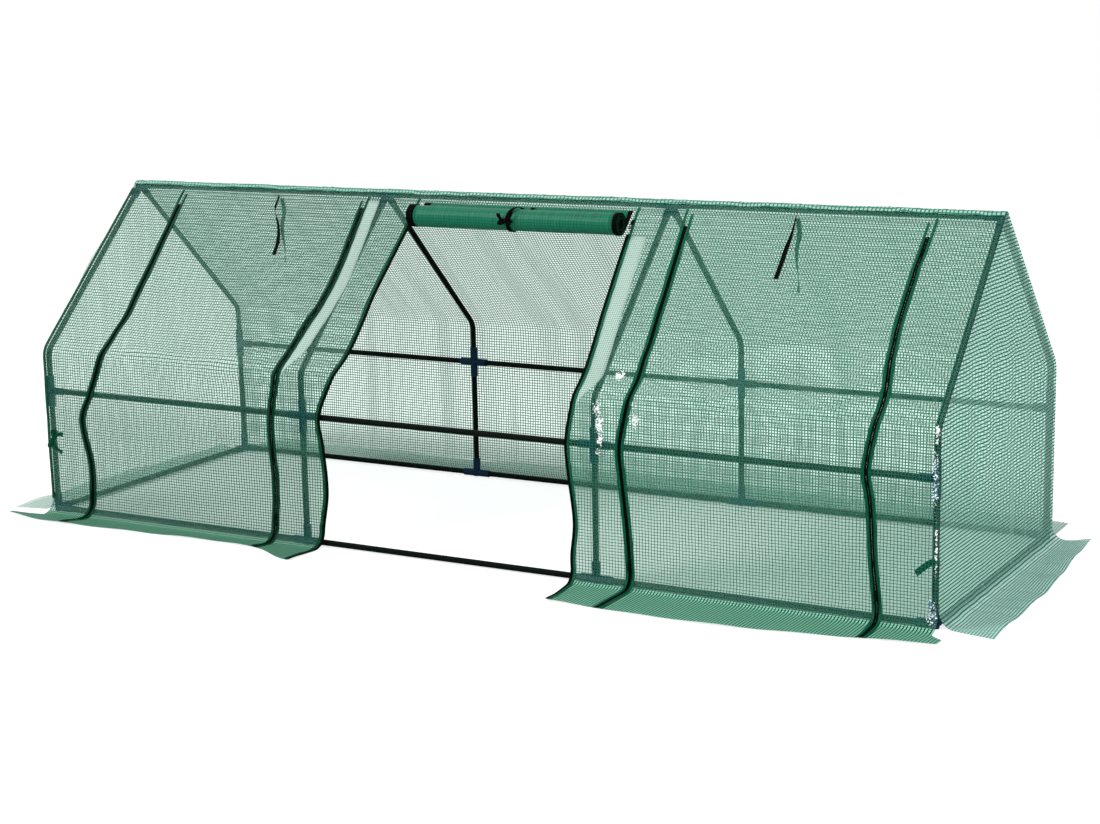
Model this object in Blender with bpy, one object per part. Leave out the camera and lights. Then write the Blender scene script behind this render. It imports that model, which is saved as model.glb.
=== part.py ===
"""Mini greenhouse: a steel tube frame under a film cover with three zipped doors.

Bent rafters and straight posts and rails push into plastic connectors. A cover of
reinforced film goes over the frame: one sheet over the ridge and down the back, two
ends, four front strips that lie on the rafters, and a door in each of the three bays.
The left and right doors are zipped shut and the middle one is rolled up and tied.
X runs along the ridge, the front faces -Y, +Z is up, and the floor is at Z = 0.
"""

import math

import bmesh
import bpy
from mathutils import Matrix, Vector

# Frame, in metres, between the middles of the tubes
BAY = 0.900
BAYS = 3
HALF_LENGTH = BAY * BAYS / 2
HALF_DEPTH = 0.450
RIDGE_RISE = 0.910
EAVE_RISE = 0.468
MID_RISE = 0.350
BEND_RADIUS = 0.045
BEND_STEPS = 4

# Tubes and connectors
SIDES = 10
TUBE_RADIUS = 0.0080
TUBE_WALL = 0.0009
SOCKET_RADIUS = 0.0085
SLEEVE_RADIUS = 0.0106
POST_SLEEVE_RADIUS = 0.0110
SLEEVE_REACH = 0.045
SOCKET_START = 0.014
SEAT_GAP = 0.0004
FLAT_RISE = SLEEVE_RADIUS * math.cos(math.pi / SIDES)

# Heights above the floor, on which the base connectors' lowest flats stand
BASE_Z = FLAT_RISE
MID_Z = BASE_Z + MID_RISE
EAVE_Z = BASE_Z + EAVE_RISE
RIDGE_Z = BASE_Z + RIDGE_RISE
SLOPE = math.atan2(RIDGE_RISE - EAVE_RISE, HALF_DEPTH)
EAVE_TURN = math.pi / 2 - SLOPE
BEND_TANGENT = BEND_RADIUS * math.tan(EAVE_TURN / 2)
SLOPE_LENGTH = math.hypot(RIDGE_RISE - EAVE_RISE, HALF_DEPTH)

# Cover: its middle surface stands off the middles of the tubes
FILM = 0.0012
STAND_OFF = 0.0125
FLARE_RADIUS = 0.040
ARC_STEPS = 4
LINE_STEP = 0.105
EDGE_GAP = 0.0010
SEAM_GAP = 0.0022
END_X = HALF_LENGTH + STAND_OFF
SKIRT_X = 1.500
SLOPE_SAG = 0.010
WALL_BILLOW = 0.005
END_FOLD = 0.007
ZIP_EASE = 0.080

# Places along the film, measured down from the ridge
RIDGE_ARC = STAND_OFF * SLOPE
SLOPE_LINE = SLOPE_LENGTH - BEND_TANGENT
EAVE_ARC = (BEND_RADIUS + STAND_OFF) * EAVE_TURN
WALL_TOP_Z = EAVE_Z - BEND_TANGENT
WALL_LINE = WALL_TOP_Z - FLARE_RADIUS - FILM / 2
FLARE_ARC = FLARE_RADIUS * math.pi / 2
SEAM = 0.045
EAVE_FOLD = RIDGE_ARC + SLOPE_LINE + EAVE_ARC / 2
WALL_START = RIDGE_ARC + SLOPE_LINE + EAVE_ARC
FLARE_START = WALL_START + WALL_LINE
SKIRT_START = FLARE_START + FLARE_ARC
LONGEST_SKIRT = 0.1525
SKIRT_END = SKIRT_START + LONGEST_SKIRT

# Each zip's X at the stations down the film, as the slack film lets it wander
ZIP_STATIONS = (0.05, 0.36, 0.60, 0.76, 0.84, 0.97, 1.08, 1.25)
ZIPS = {
    "left_door_left": (-1.150, -1.135, -1.130, -1.190, -1.225, -1.200, -1.205, -1.235),
    "left_door_right": (-0.500, -0.478, -0.510, -0.545, -0.548, -0.540, -0.547, -0.560),
    "middle_door_left": (-0.312, -0.325, -0.320, -0.385, -0.377, -0.368, -0.385, -0.400),
    "middle_door_right": (0.362, 0.384, 0.402, 0.374, 0.380, 0.395, 0.386, 0.410),
    "right_door_left": (0.522, 0.544, 0.558, 0.528, 0.533, 0.547, 0.554, 0.556),
    "right_door_right": (1.185, 1.180, 1.205, 1.180, 1.191, 1.199, 1.210, 1.222),
}

# How far the front skirt reaches past the wall's foot, at places along X
SKIRT_STATIONS = (-1.50, -1.30, -0.90, -0.55, -0.40, 0.40, 0.84, 1.22, 1.50)
FRONT_SKIRT = (0.020, 0.065, 0.046, 0.048, 0.115, 0.140, 0.1525, 0.098, 0.050)
REAR_SKIRT = (0.110, 0.120, 0.140, 0.128, 0.1525, 0.1525, 0.135, 0.146, 0.110)
SKIRT_WIDENING = {"left": 0.110, "right": 0.035}

# Rolled middle door
ROLL_LEFT = -0.300
ROLL_RIGHT = 0.355
ROLL_DISTANCE = 0.115
ROLL_RADIUS = 0.0300
ROLL_CORE = 0.0080
ROLL_PITCH = 0.0026
ROLL_STEPS = 14

# Zip sliders and tie ribbons
SLIDER_WIDTH = 0.009
SLIDER_LENGTH = 0.014
SLIDER_LIFT = 0.0012
TEETH_INSET = 0.0065
LOW_STATION = 1.055
HIGH_STATION = 0.085
RIBBON_WIDTH = 0.012
RIBBON_THICKNESS = 0.0010
RIBBON_LIFT = 0.0022
LEFT_RIBBON = (-0.797, -0.735, 0.200)
RIGHT_RIBBON = (0.824, 0.827, 0.195)
TIE_X = 0.026
TIE_GAP = 0.0008
TIE_SWEEP = math.radians(229)
TIE_STEPS = 18

BAY_NAMES = ("left", "middle", "right")
FRAME_NAMES = ("left_end", "left_inner", "right_inner", "right_end")
FRAME_PLACES = tuple(-HALF_LENGTH + BAY * index for index in range(BAYS + 1))


def clear_scene():
    for obj in list(bpy.data.objects):
        bpy.data.objects.remove(obj, do_unlink=True)


def make_material(name, colour, roughness, metallic):
    material = bpy.data.materials.new(name)
    material.use_nodes = True
    shader = material.node_tree.nodes["Principled BSDF"]
    shader.inputs["Base Color"].default_value = (*colour, 1.0)
    shader.inputs["Roughness"].default_value = roughness
    shader.inputs["Metallic"].default_value = metallic
    material.diffuse_color = (*colour, 1.0)
    return material


def mesh_from(bm, name):
    bmesh.ops.recalc_face_normals(bm, faces=bm.faces)
    mesh = bpy.data.meshes.new(name)
    bm.to_mesh(mesh)
    bm.free()
    return mesh


def add_part(name, mesh, material, origin=(0, 0, 0), rotation=(0, 0, 0)):
    """Link a mesh, already in the coordinates of its origin, as a named part."""
    obj = bpy.data.objects.new(name, mesh)
    bpy.context.scene.collection.objects.link(obj)
    if not mesh.materials:
        mesh.materials.append(material)
    mesh.shade_smooth()
    mesh.set_sharp_from_angle(angle=math.radians(38))
    obj.location = origin
    obj.rotation_euler = rotation
    return obj


def recentre(mesh, origin):
    """Shift a mesh made in world coordinates so that origin becomes its own zero."""
    mesh.transform(Matrix.Translation(-Vector(origin)))
    return mesh


# Tubes, sleeves and connectors


def ring_frame(point, tangent, side):
    """Return the matrix that lays a ring at a point, square to the tangent and flat side down."""
    normal = tangent.cross(side)
    axes = Matrix((side, normal, tangent)).transposed().to_4x4()
    half_side = Matrix.Rotation(math.pi / SIDES, 4, "Z")
    return Matrix.Translation(point) @ axes @ half_side


def swept_rod(points, radius, side, name="rod"):
    """Sweep a disc along points in a plane that is square to side."""
    points = [Vector(point) for point in points]
    side = Vector(side)
    steps = [(after - before).normalized() for before, after in zip(points, points[1:])]
    headings = [steps[0]]
    headings += [(before + after).normalized() for before, after in zip(steps, steps[1:])]
    headings.append(steps[-1])
    frames = [ring_frame(point, heading, side) for point, heading in zip(points, headings)]
    bm = bmesh.new()
    bmesh.ops.create_circle(
        bm, cap_ends=True, segments=SIDES, radius=radius, matrix=frames[0]
    )
    cap = bm.faces[:]
    for before, after in zip(frames, frames[1:]):
        extruded = bmesh.ops.extrude_face_region(bm, geom=cap)["geom"]
        if before is not frames[0]:
            bmesh.ops.delete(bm, geom=cap, context="FACES_ONLY")
        ring = [item for item in extruded if isinstance(item, bmesh.types.BMVert)]
        cap = [item for item in extruded if isinstance(item, bmesh.types.BMFace)]
        bmesh.ops.transform(bm, matrix=after @ before.inverted(), verts=ring)
    return mesh_from(bm, name)


def combined(base, others, operation):
    """Return base joined with, or cut by, each of the other meshes in turn."""
    scene = bpy.context.scene
    body = bpy.data.objects.new("body", base)
    scene.collection.objects.link(body)
    tools = []
    for mesh in others:
        tool = bpy.data.objects.new("tool", mesh)
        scene.collection.objects.link(tool)
        modifier = body.modifiers.new("combine", "BOOLEAN")
        modifier.operation = operation
        modifier.object = tool
        tools.append(tool)
    graph = bpy.context.evaluated_depsgraph_get()
    result = bpy.data.meshes.new_from_object(body.evaluated_get(graph), depsgraph=graph)
    for obj in [body, *tools]:
        bpy.data.objects.remove(obj, do_unlink=True)
    return result


def arm_side(direction):
    return Vector((0, 1, 0)) if abs(direction.x) > 0.5 else Vector((1, 0, 0))


def sleeve(centre, direction, start, reach, radius):
    direction = Vector(direction)
    ends = (centre + direction * start, centre + direction * reach)
    return swept_rod(ends, radius, arm_side(direction), "sleeve")


def socket(centre, direction):
    return sleeve(centre, direction, SOCKET_START, SLEEVE_REACH + 0.001, SOCKET_RADIUS)


def hollow_tube(start, end):
    """Return a straight tube, open at both ends."""
    start = Vector(start)
    end = Vector(end)
    direction = (end - start).normalized()
    frame = ring_frame(start, direction, arm_side(direction))
    bm = bmesh.new()
    rims = []
    for radius in (TUBE_RADIUS, TUBE_RADIUS - TUBE_WALL):
        made = bmesh.ops.create_circle(bm, segments=SIDES, radius=radius, matrix=frame)
        rims += list({edge for vert in made["verts"] for edge in vert.link_edges})
    wall = bmesh.ops.bridge_loops(bm, edges=rims)["faces"]
    extruded = bmesh.ops.extrude_face_region(bm, geom=wall)["geom"]
    moved = [item for item in extruded if isinstance(item, bmesh.types.BMVert)]
    bmesh.ops.translate(bm, vec=end - start, verts=moved)
    return mesh_from(bm, "tube")


def rafter_path(start, bottom_z):
    """Return the bent rafter's middle line, from beside the ridge down to bottom_z."""
    down = Vector((0, -math.cos(SLOPE), -math.sin(SLOPE)))
    path = [Vector((0, 0, RIDGE_Z)) + down * start]
    centre_y = -HALF_DEPTH + BEND_RADIUS
    centre_z = EAVE_Z - BEND_TANGENT
    for step in range(BEND_STEPS + 1):
        angle = EAVE_TURN * (1 - step / BEND_STEPS)
        y = centre_y - BEND_RADIUS * math.cos(angle)
        z = centre_z + BEND_RADIUS * math.sin(angle)
        path.append(Vector((0, y, z)))
    path.append(Vector((0, -HALF_DEPTH, bottom_z)))
    return path


def rafter_mesh(rail_sides):
    """Bent rafter moulded into its middle connector, with sockets for post and rails."""
    centre = Vector((0, -HALF_DEPTH, MID_Z))
    up = Vector((0, 0, 1))
    along = Vector((1, 0, 0))
    tube = swept_rod(rafter_path(SOCKET_START + SEAT_GAP, MID_Z), TUBE_RADIUS, along)
    bore_path = rafter_path(SOCKET_START - 0.002, MID_Z + SLEEVE_REACH)
    bore = swept_rod(bore_path, TUBE_RADIUS - TUBE_WALL, along)
    upright = sleeve(centre, up, -SLEEVE_REACH, SLEEVE_REACH, POST_SLEEVE_RADIUS)
    arms = [sleeve(centre, along * side, 0, SLEEVE_REACH, SLEEVE_RADIUS) for side in rail_sides]
    body = combined(tube, [upright, *arms], "UNION")
    sockets = [socket(centre, -up)] + [socket(centre, along * side) for side in rail_sides]
    return combined(body, [bore, *sockets], "DIFFERENCE")


def post_mesh(rail_sides, has_bar):
    """Straight lower post moulded into its base connector."""
    centre = Vector((0, -HALF_DEPTH, BASE_Z))
    up = Vector((0, 0, 1))
    along = Vector((1, 0, 0))
    inward = Vector((0, 1, 0))
    top = MID_RISE - SOCKET_START - SEAT_GAP
    directions = [along * side for side in rail_sides] + ([inward] if has_bar else [])
    tube = sleeve(centre, up, 0, top, TUBE_RADIUS)
    upright = sleeve(centre, up, -0.0095, SLEEVE_REACH, POST_SLEEVE_RADIUS)
    arms = [sleeve(centre, way, 0, SLEEVE_REACH, SLEEVE_RADIUS) for way in directions]
    body = combined(tube, [upright, *arms], "UNION")
    bore = sleeve(centre, up, SLEEVE_REACH, top + 0.002, TUBE_RADIUS - TUBE_WALL)
    sockets = [socket(centre, way) for way in directions]
    return combined(body, [bore, *sockets], "DIFFERENCE")


def ridge_connector_mesh(rail_sides):
    """Connector at the peak, with two rafter sockets and one or two rail sockets."""
    centre = Vector((0, 0, RIDGE_Z))
    along = Vector((1, 0, 0))
    slopes = [Vector((0, side * math.cos(SLOPE), -math.sin(SLOPE))) for side in (-1, 1)]
    reaches = [SLEEVE_REACH if side in rail_sides else POST_SLEEVE_RADIUS for side in (-1, 1)]
    barrel = sleeve(centre, along, -reaches[0], reaches[1], POST_SLEEVE_RADIUS)
    arms = [sleeve(centre, way, 0, SLEEVE_REACH, SLEEVE_RADIUS) for way in slopes]
    body = combined(barrel, arms, "UNION")
    sockets = [socket(centre, way) for way in slopes]
    sockets += [socket(centre, along * side) for side in rail_sides]
    return combined(body, sockets, "DIFFERENCE")


def rail_sides_of(index):
    return [side for side in (-1, 1) if 0 <= index + side <= BAYS]


def make_frames(tube_paint):
    """Four frames of two rafters, two posts and a ridge connector."""
    half_turn = (0, 0, math.pi)
    for index, (place, name) in enumerate(zip(FRAME_PLACES, FRAME_NAMES)):
        sides = rail_sides_of(index)
        turned = [-side for side in sides]
        has_bar = len(sides) == 1
        at = (place, 0, 0)
        add_part(f"ridge_connector_{name}", ridge_connector_mesh(sides), tube_paint, at)
        add_part(f"rafter_front_{name}", rafter_mesh(sides), tube_paint, at)
        add_part(f"rafter_rear_{name}", rafter_mesh(turned), tube_paint, at, half_turn)
        add_part(f"post_front_{name}", post_mesh(sides, has_bar), tube_paint, at)
        add_part(f"post_rear_{name}", post_mesh(turned, has_bar), tube_paint, at, half_turn)


def make_rails(tube_paint):
    """Straight tubes along the ridge, the middle and the base, and across both ends."""
    inset = SOCKET_START + SEAT_GAP
    rail = hollow_tube((inset, 0, 0), (BAY - inset, 0, 0))
    bar = hollow_tube((0, inset - HALF_DEPTH, 0), (0, HALF_DEPTH - inset, 0))
    rows = {
        "ridge_rail": (0, RIDGE_Z),
        "mid_rail_front": (-HALF_DEPTH, MID_Z),
        "mid_rail_rear": (HALF_DEPTH, MID_Z),
        "base_rail_front": (-HALF_DEPTH, BASE_Z),
        "base_rail_rear": (HALF_DEPTH, BASE_Z),
    }
    for row, (depth, height) in rows.items():
        for place, bay_name in zip(FRAME_PLACES, BAY_NAMES):
            add_part(f"{row}_{bay_name}", rail, tube_paint, (place, depth, height))
    for place, end_name in ((-HALF_LENGTH, "left"), (HALF_LENGTH, "right")):
        add_part(f"base_end_bar_{end_name}", bar, tube_paint, (place, 0, BASE_Z))


# The film's section: how far out and how high it is at a distance from the ridge

SECTION = (
    (RIDGE_ARC, -SLOPE),
    (SLOPE_LINE, 0.0),
    (EAVE_ARC, -EAVE_TURN),
    (WALL_LINE, 0.0),
    (FLARE_ARC, math.pi / 2),
    (LONGEST_SKIRT, 0.0),
)


def film_place(distance):
    """Return the depth, the height and the heading of the film at a distance."""
    depth, height, heading = 0.0, RIDGE_Z + STAND_OFF, 0.0
    for length, turn in SECTION:
        part = min(length, distance)
        share = turn * part / length
        chord = part if turn == 0 else 2 * math.sin(share / 2) * length / turn
        depth += chord * math.cos(heading + share / 2)
        height += chord * math.sin(heading + share / 2)
        heading += share
        distance -= part
        if distance <= 0:
            break
    return depth, height, heading


def stations(start, stop):
    """Return the distances between start and stop at which the film needs a row."""
    found = [start]
    corner = 0.0
    for length, turn in SECTION:
        steps = ARC_STEPS if turn else math.ceil(length / LINE_STEP)
        rows = [corner + length * (step + 1) / steps for step in range(steps)]
        found += [row for row in rows if start + 0.004 < row < stop - 0.004]
        corner += length
    return found + [stop]


def blended(value, places, levels):
    """Return a smooth value between levels that are given at places."""
    if value <= places[0]:
        return levels[0]
    pairs = zip(places, places[1:], levels, levels[1:])
    for before, after, low, high in pairs:
        if value <= after:
            share = (value - before) / (after - before)
            return low + (high - low) * share * share * (3 - 2 * share)
    return levels[-1]


def zip_x(name, distance):
    return blended(distance, ZIP_STATIONS, ZIPS[name])


def bump(value, start, stop):
    """Return a rise from 0 at start to 1 half way and back to 0 at stop."""
    if not start < value < stop:
        return 0.0
    return math.sin(math.pi * (value - start) / (stop - start)) ** 2


def slack(x, distance):
    """Return how far the film stands out from, or sags below, its taut section.

    It sags between the rafters, billows on the wall, and lies flat along every zip.
    """
    bay = math.sin(math.pi * (x + HALF_LENGTH) / BAY) ** 2
    crease = math.sin(9.0 * x + 11.0 * distance)
    sag = -SLOPE_SAG * bump(distance, SEAM, EAVE_FOLD) * bay * (1 + 0.35 * crease)
    off_zip = min(abs(x - zip_x(name, distance)) for name in ZIPS)
    ease = blended(off_zip, (0.012, ZIP_EASE), (0.0, 1.0))
    billow = WALL_BILLOW * bump(distance, WALL_START, FLARE_START) * ease
    return sag + billow * (0.25 + 0.75 * bay) * (1 + 0.5 * math.sin(23.0 * x))


def film_panel(name, rows, left, right, columns, face, skirt):
    """Return a thin closed panel of film between two edge lines.

    Rows are distances from the ridge, negative on the front and positive on the rear
    when face is 0, and all on one face when it is -1 or 1.
    """
    bm = bmesh.new()
    bmesh.ops.create_grid(bm, x_segments=columns, y_segments=len(rows) - 1, size=0.5)
    for vert in bm.verts:
        row = rows[round((vert.co.y + 0.5) * (len(rows) - 1))]
        distance = abs(row)
        side = face if face else (1 if row > 0 else -1)
        x = left(distance) + (right(distance) - left(distance)) * (vert.co.x + 0.5)
        run = distance - SKIRT_START
        if run > 0:
            distance = SKIRT_START + run * skirt(x) / LONGEST_SKIRT
        depth, height, heading = film_place(distance)
        stand = slack(x, distance)
        depth -= stand * math.sin(heading)
        height += stand * math.cos(heading)
        vert.co = (x, side * depth, height)
    return mesh_from(bm, name)


def add_film(name, mesh, film, origin=(0, 0, 0)):
    """Add a panel, with its thickness on both sides of its middle surface."""
    obj = add_part(name, recentre(mesh, origin), film, origin)
    thickness = obj.modifiers.new("thickness", "SOLIDIFY")
    thickness.thickness = FILM
    thickness.offset = 0
    return obj


def front_skirt(x):
    return blended(x, SKIRT_STATIONS, FRONT_SKIRT)


def rear_skirt(x):
    return blended(x, SKIRT_STATIONS, REAR_SKIRT)


def cover_edge(side):
    """Return the line along which a strip or the rear sheet meets an end panel."""
    limit = END_X - FILM / 2 - EDGE_GAP / 2
    return lambda distance: side * limit


def strip_end_edge(side, widening):
    """As cover_edge, but spreading sideways where the skirt lies on the floor."""
    limit = END_X - FILM / 2 - EDGE_GAP / 2

    def edge(distance):
        run = max(0.0, distance - SKIRT_START - 0.01) / LONGEST_SKIRT
        return side * (limit + widening * min(1.0, 2.5 * run))

    return edge


def is_open(name):
    return name.startswith("middle")


def strip_side(name):
    """Return on which side of a zip its strip lies: -1 for the left and 1 for the right."""
    return -1 if name in ("left_door_left", "middle_door_left", "right_door_left") else 1


def zip_edge(name, gap):
    """Return the line between strip and door: beside a shut zip's teeth, at an open one's."""
    inset = 0.0 if is_open(name) else -strip_side(name) * TEETH_INSET
    return lambda distance: zip_x(name, distance) + inset + gap


def film_point(distance, side=-1):
    depth, height, _ = film_place(distance)
    return Vector((0, side * depth, height))


def make_fixed_cover(film):
    """The sheet over the ridge and down the back, and the four front strips."""
    header = [-row for row in reversed(stations(0.0, SEAM - SEAM_GAP / 2))]
    roof_rows = header + stations(0.0, EAVE_FOLD - SEAM_GAP / 2)[1:]
    left = cover_edge(-1)
    right = cover_edge(1)
    roof = film_panel("roof", roof_rows, left, right, 18, 0, rear_skirt)
    add_film("cover_ridge_and_rear_roof", roof, film)
    wall_rows = stations(EAVE_FOLD + SEAM_GAP / 2, SKIRT_END)
    wall = film_panel("wall", wall_rows, left, right, 18, 1, rear_skirt)
    add_film("cover_rear_wall", wall, film)
    rows = stations(SEAM + SEAM_GAP / 2, SKIRT_END)
    strips = {
        "left_end": (strip_end_edge(-1, SKIRT_WIDENING["left"]), zip_edge("left_door_left", -EDGE_GAP)),
        "left_inner": (zip_edge("left_door_right", EDGE_GAP), zip_edge("middle_door_left", -EDGE_GAP)),
        "right_inner": (zip_edge("middle_door_right", EDGE_GAP), zip_edge("right_door_left", -EDGE_GAP)),
        "right_end": (zip_edge("right_door_right", EDGE_GAP), strip_end_edge(1, SKIRT_WIDENING["right"])),
    }
    for name, (strip_left, strip_right) in strips.items():
        strip = film_panel("strip", rows, strip_left, strip_right, 4, -1, front_skirt)
        add_film(f"cover_front_strip_{name}", strip, film)


def end_panel(side):
    """Return an end of the cover: the gable, the wall below it and its floor flap."""
    rows = stations(0.006, SKIRT_END)
    columns = 12
    bm = bmesh.new()
    bmesh.ops.create_grid(bm, x_segments=columns, y_segments=len(rows) - 1, size=0.5)
    wall_depth = film_place(FLARE_START)[0]
    flap_share = (SKIRT_X - END_X - FLARE_RADIUS) / LONGEST_SKIRT
    for vert in bm.verts:
        distance = rows[round((vert.co.y + 0.5) * (len(rows) - 1))]
        across = vert.co.x * 2
        if distance <= FLARE_START:
            depth, height, _ = film_place(distance)
            fold = bump(distance, 0.10, FLARE_START) * (1 - across * across)
            wave = 1 + math.sin(13.0 * across + 1.5 * distance)
            x = END_X + END_FOLD / 2 * fold * wave
            y = across * depth
        else:
            run = max(0.0, distance - SKIRT_START)
            spread, height, _ = film_place(distance - run * (1 - flap_share))
            x = END_X + spread - wall_depth
            y = across * (wall_depth - 0.006 + 0.12 * run)
        vert.co = (side * x, y, height)
    return mesh_from(bm, "end")


def make_doors(film):
    """The two shut doors, each an upper panel on the slope and a lower one on the wall."""
    upper_rows = stations(SEAM + SEAM_GAP / 2, EAVE_FOLD - SEAM_GAP / 2)
    lower_rows = stations(EAVE_FOLD + SEAM_GAP / 2, SKIRT_END)
    for name in ("left_door", "right_door"):
        left = zip_edge(f"{name}_left", EDGE_GAP)
        right = zip_edge(f"{name}_right", -EDGE_GAP)
        middle = Vector(((left(SEAM) + right(SEAM)) / 2, 0, 0))
        for part, rows, hinge in (("upper", upper_rows, SEAM), ("lower", lower_rows, EAVE_FOLD)):
            panel = film_panel(name, rows, left, right, 12, -1, front_skirt)
            add_film(f"{name}_{part}", panel, film, middle + film_point(hinge))


def film_ribbon(points, normals, width, thickness, name):
    """Return a flat band along points, with its thickness along the normals."""
    bm = bmesh.new()
    lines = []
    for offset in (-thickness / 2, thickness / 2):
        line = [bm.verts.new(point + normal * offset) for point, normal in zip(points, normals)]
        lines.append(line)
    strip = []
    for low, high in zip(zip(*lines), zip(lines[0][1:], lines[1][1:])):
        strip.append(bm.faces.new((low[0], high[0], high[1], low[1])))
    extruded = bmesh.ops.extrude_face_region(bm, geom=strip)["geom"]
    moved = [item for item in extruded if isinstance(item, bmesh.types.BMVert)]
    bmesh.ops.translate(bm, vec=(width, 0, 0), verts=moved)
    return mesh_from(bm, name)


def slope_axes():
    """Return the directions down the front slope and square out of it."""
    down = Vector((0, -math.cos(SLOPE), -math.sin(SLOPE)))
    out = Vector((0, -math.sin(SLOPE), math.cos(SLOPE)))
    return down, out


def roll_points():
    """Return the rolled door's middle line: a tail down the slope, then the spiral in."""
    down, out = slope_axes()
    start = film_point(SEAM + SEAM_GAP / 2)
    touch = film_point(ROLL_DISTANCE)
    centre = touch + out * ROLL_RADIUS
    points = [start, touch + down * -0.02]
    normals = [out, out]
    turns = (ROLL_RADIUS - ROLL_CORE) / ROLL_PITCH
    for step in range(int(turns * ROLL_STEPS) + 1):
        angle = 2 * math.pi * step / ROLL_STEPS
        radius = ROLL_RADIUS - ROLL_PITCH * step / ROLL_STEPS
        spoke = -out * math.cos(angle) + down * math.sin(angle)
        points.append(centre + spoke * radius)
        normals.append(-spoke)
    return points, normals, centre


def make_middle_door(film, ribbon_cloth):
    """The middle door, rolled up under the ridge, and the ribbon tied around it."""
    hinge = film_point(SEAM) + Vector(((ROLL_LEFT + ROLL_RIGHT) / 2, 0, 0))
    points, normals, centre = roll_points()
    length = ROLL_RIGHT - ROLL_LEFT
    roll = film_ribbon(points, normals, length, FILM, "roll")
    roll.transform(Matrix.Translation((ROLL_LEFT, 0, 0)))
    add_part("middle_door_roll", recentre(roll, hinge), film, hinge)
    turns = (ROLL_RADIUS - ROLL_CORE) / ROLL_PITCH
    print(f"roll: {turns:.1f} turns, least gap {1000 * (ROLL_PITCH - FILM):.1f} mm")

    down, out = slope_axes()
    around = ROLL_RADIUS + FILM / 2 + RIBBON_THICKNESS / 2 + TIE_GAP
    tie_points = [film_point(SEAM + 0.004) - out * RIBBON_LIFT]
    tie_normals = [-out]
    for step in range(TIE_STEPS + 1):
        angle = TIE_SWEEP * step / TIE_STEPS
        spoke = -out * math.cos(angle) + down * math.sin(angle)
        tie_points.append(centre + spoke * around)
        tie_normals.append(spoke)
    tie_points.append(film_point(SEAM + 0.004) + out * (RIBBON_LIFT + 0.001))
    tie_normals.append(out)
    band = film_ribbon(tie_points, tie_normals, RIBBON_WIDTH, RIBBON_THICKNESS, "tie")
    band.transform(Matrix.Translation((TIE_X - RIBBON_WIDTH / 2, 0, 0)))
    knot_bm = bmesh.new()
    knot_spoke = out * math.cos(0.5) + down * math.sin(0.5)
    knot_place = centre + knot_spoke * (around + 0.0035) + Vector((TIE_X, 0, 0))
    knot_shape = Matrix.Translation(knot_place) @ Matrix.Diagonal((0.009, 0.006, 0.0036, 1))
    bmesh.ops.create_icosphere(knot_bm, subdivisions=2, radius=1.0, matrix=knot_shape)
    tie = combined(band, [mesh_from(knot_bm, "knot")], "UNION")
    add_part("middle_door_tie_ribbon", recentre(tie, hinge), ribbon_cloth, hinge)


def make_hanging_ribbons(ribbon_cloth):
    """A loose tie ribbon on each shut door, hanging from the seam over the film."""
    down, out = slope_axes()
    seam = film_point(SEAM + 0.003)
    for name, (top_x, low_x, length) in (("left", LEFT_RIBBON), ("right", RIGHT_RIBBON)):
        hinge = seam + out * RIBBON_LIFT + Vector((top_x, 0, 0))
        points = []
        steps = 8
        for step in range(steps + 1):
            run = length * step / steps
            wave = 0.0015 * math.sin(2 * math.pi * step / steps) ** 2
            points.append(down * run + out * wave)
        band = film_ribbon(points, [out] * len(points), RIBBON_WIDTH, RIBBON_THICKNESS, "ribbon")
        lean = (low_x - top_x) / length
        for vert in band.vertices:
            vert.co.x += lean * vert.co.dot(down) - RIBBON_WIDTH / 2
        add_part(f"{name}_door_tie_ribbon", band, ribbon_cloth, hinge)


def slider_mesh():
    """A zip slider: a tapered shell, the bridge over it, and the pull that hangs on it.

    Its own Z points out of the film and its own Y up the zip.
    """
    shell = bmesh.new()
    bmesh.ops.create_cube(shell, size=1.0)
    bmesh.ops.scale(shell, vec=(SLIDER_WIDTH, SLIDER_LENGTH, 0.0032), verts=shell.verts)
    bmesh.ops.translate(shell, vec=(0, 0, 0.0016), verts=shell.verts)
    for vert in shell.verts:
        if vert.co.y < 0:
            vert.co.x *= 0.68
    bmesh.ops.bevel(
        shell, geom=shell.edges[:], offset=0.0008, segments=1, profile=0.5, affect="EDGES", material=-1
    )
    bridge = bmesh.new()
    bmesh.ops.create_cube(bridge, size=1.0)
    bmesh.ops.scale(bridge, vec=(0.0024, 0.0090, 0.0034), verts=bridge.verts)
    bmesh.ops.translate(bridge, vec=(0, 0, 0.0044), verts=bridge.verts)
    top = [edge for edge in bridge.edges if all(vert.co.z > 0.005 for vert in edge.verts)]
    bmesh.ops.bevel(bridge, geom=top, offset=0.0010, segments=2, profile=0.5, affect="EDGES", material=-1)
    pull = bmesh.new()
    bmesh.ops.create_cube(pull, size=1.0)
    bmesh.ops.scale(pull, vec=(0.0060, 0.0280, 0.0014), verts=pull.verts)
    bmesh.ops.translate(pull, vec=(0, -0.0130, 0.0055), verts=pull.verts)
    corners = [edge for edge in pull.edges if abs((edge.verts[0].co - edge.verts[1].co).z) > 0.001]
    bmesh.ops.bevel(pull, geom=corners, offset=0.0018, segments=2, profile=0.5, affect="EDGES", material=-1)
    hole = bmesh.new()
    bmesh.ops.create_cube(hole, size=1.0)
    bmesh.ops.scale(hole, vec=(0.0028, 0.0100, 0.0060), verts=hole.verts)
    bmesh.ops.translate(hole, vec=(0, -0.0180, 0.0055), verts=hole.verts)
    plate = combined(mesh_from(pull, "pull"), [mesh_from(hole, "hole")], "DIFFERENCE")
    return combined(mesh_from(shell, "shell"), [mesh_from(bridge, "bridge"), plate], "UNION")


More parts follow.
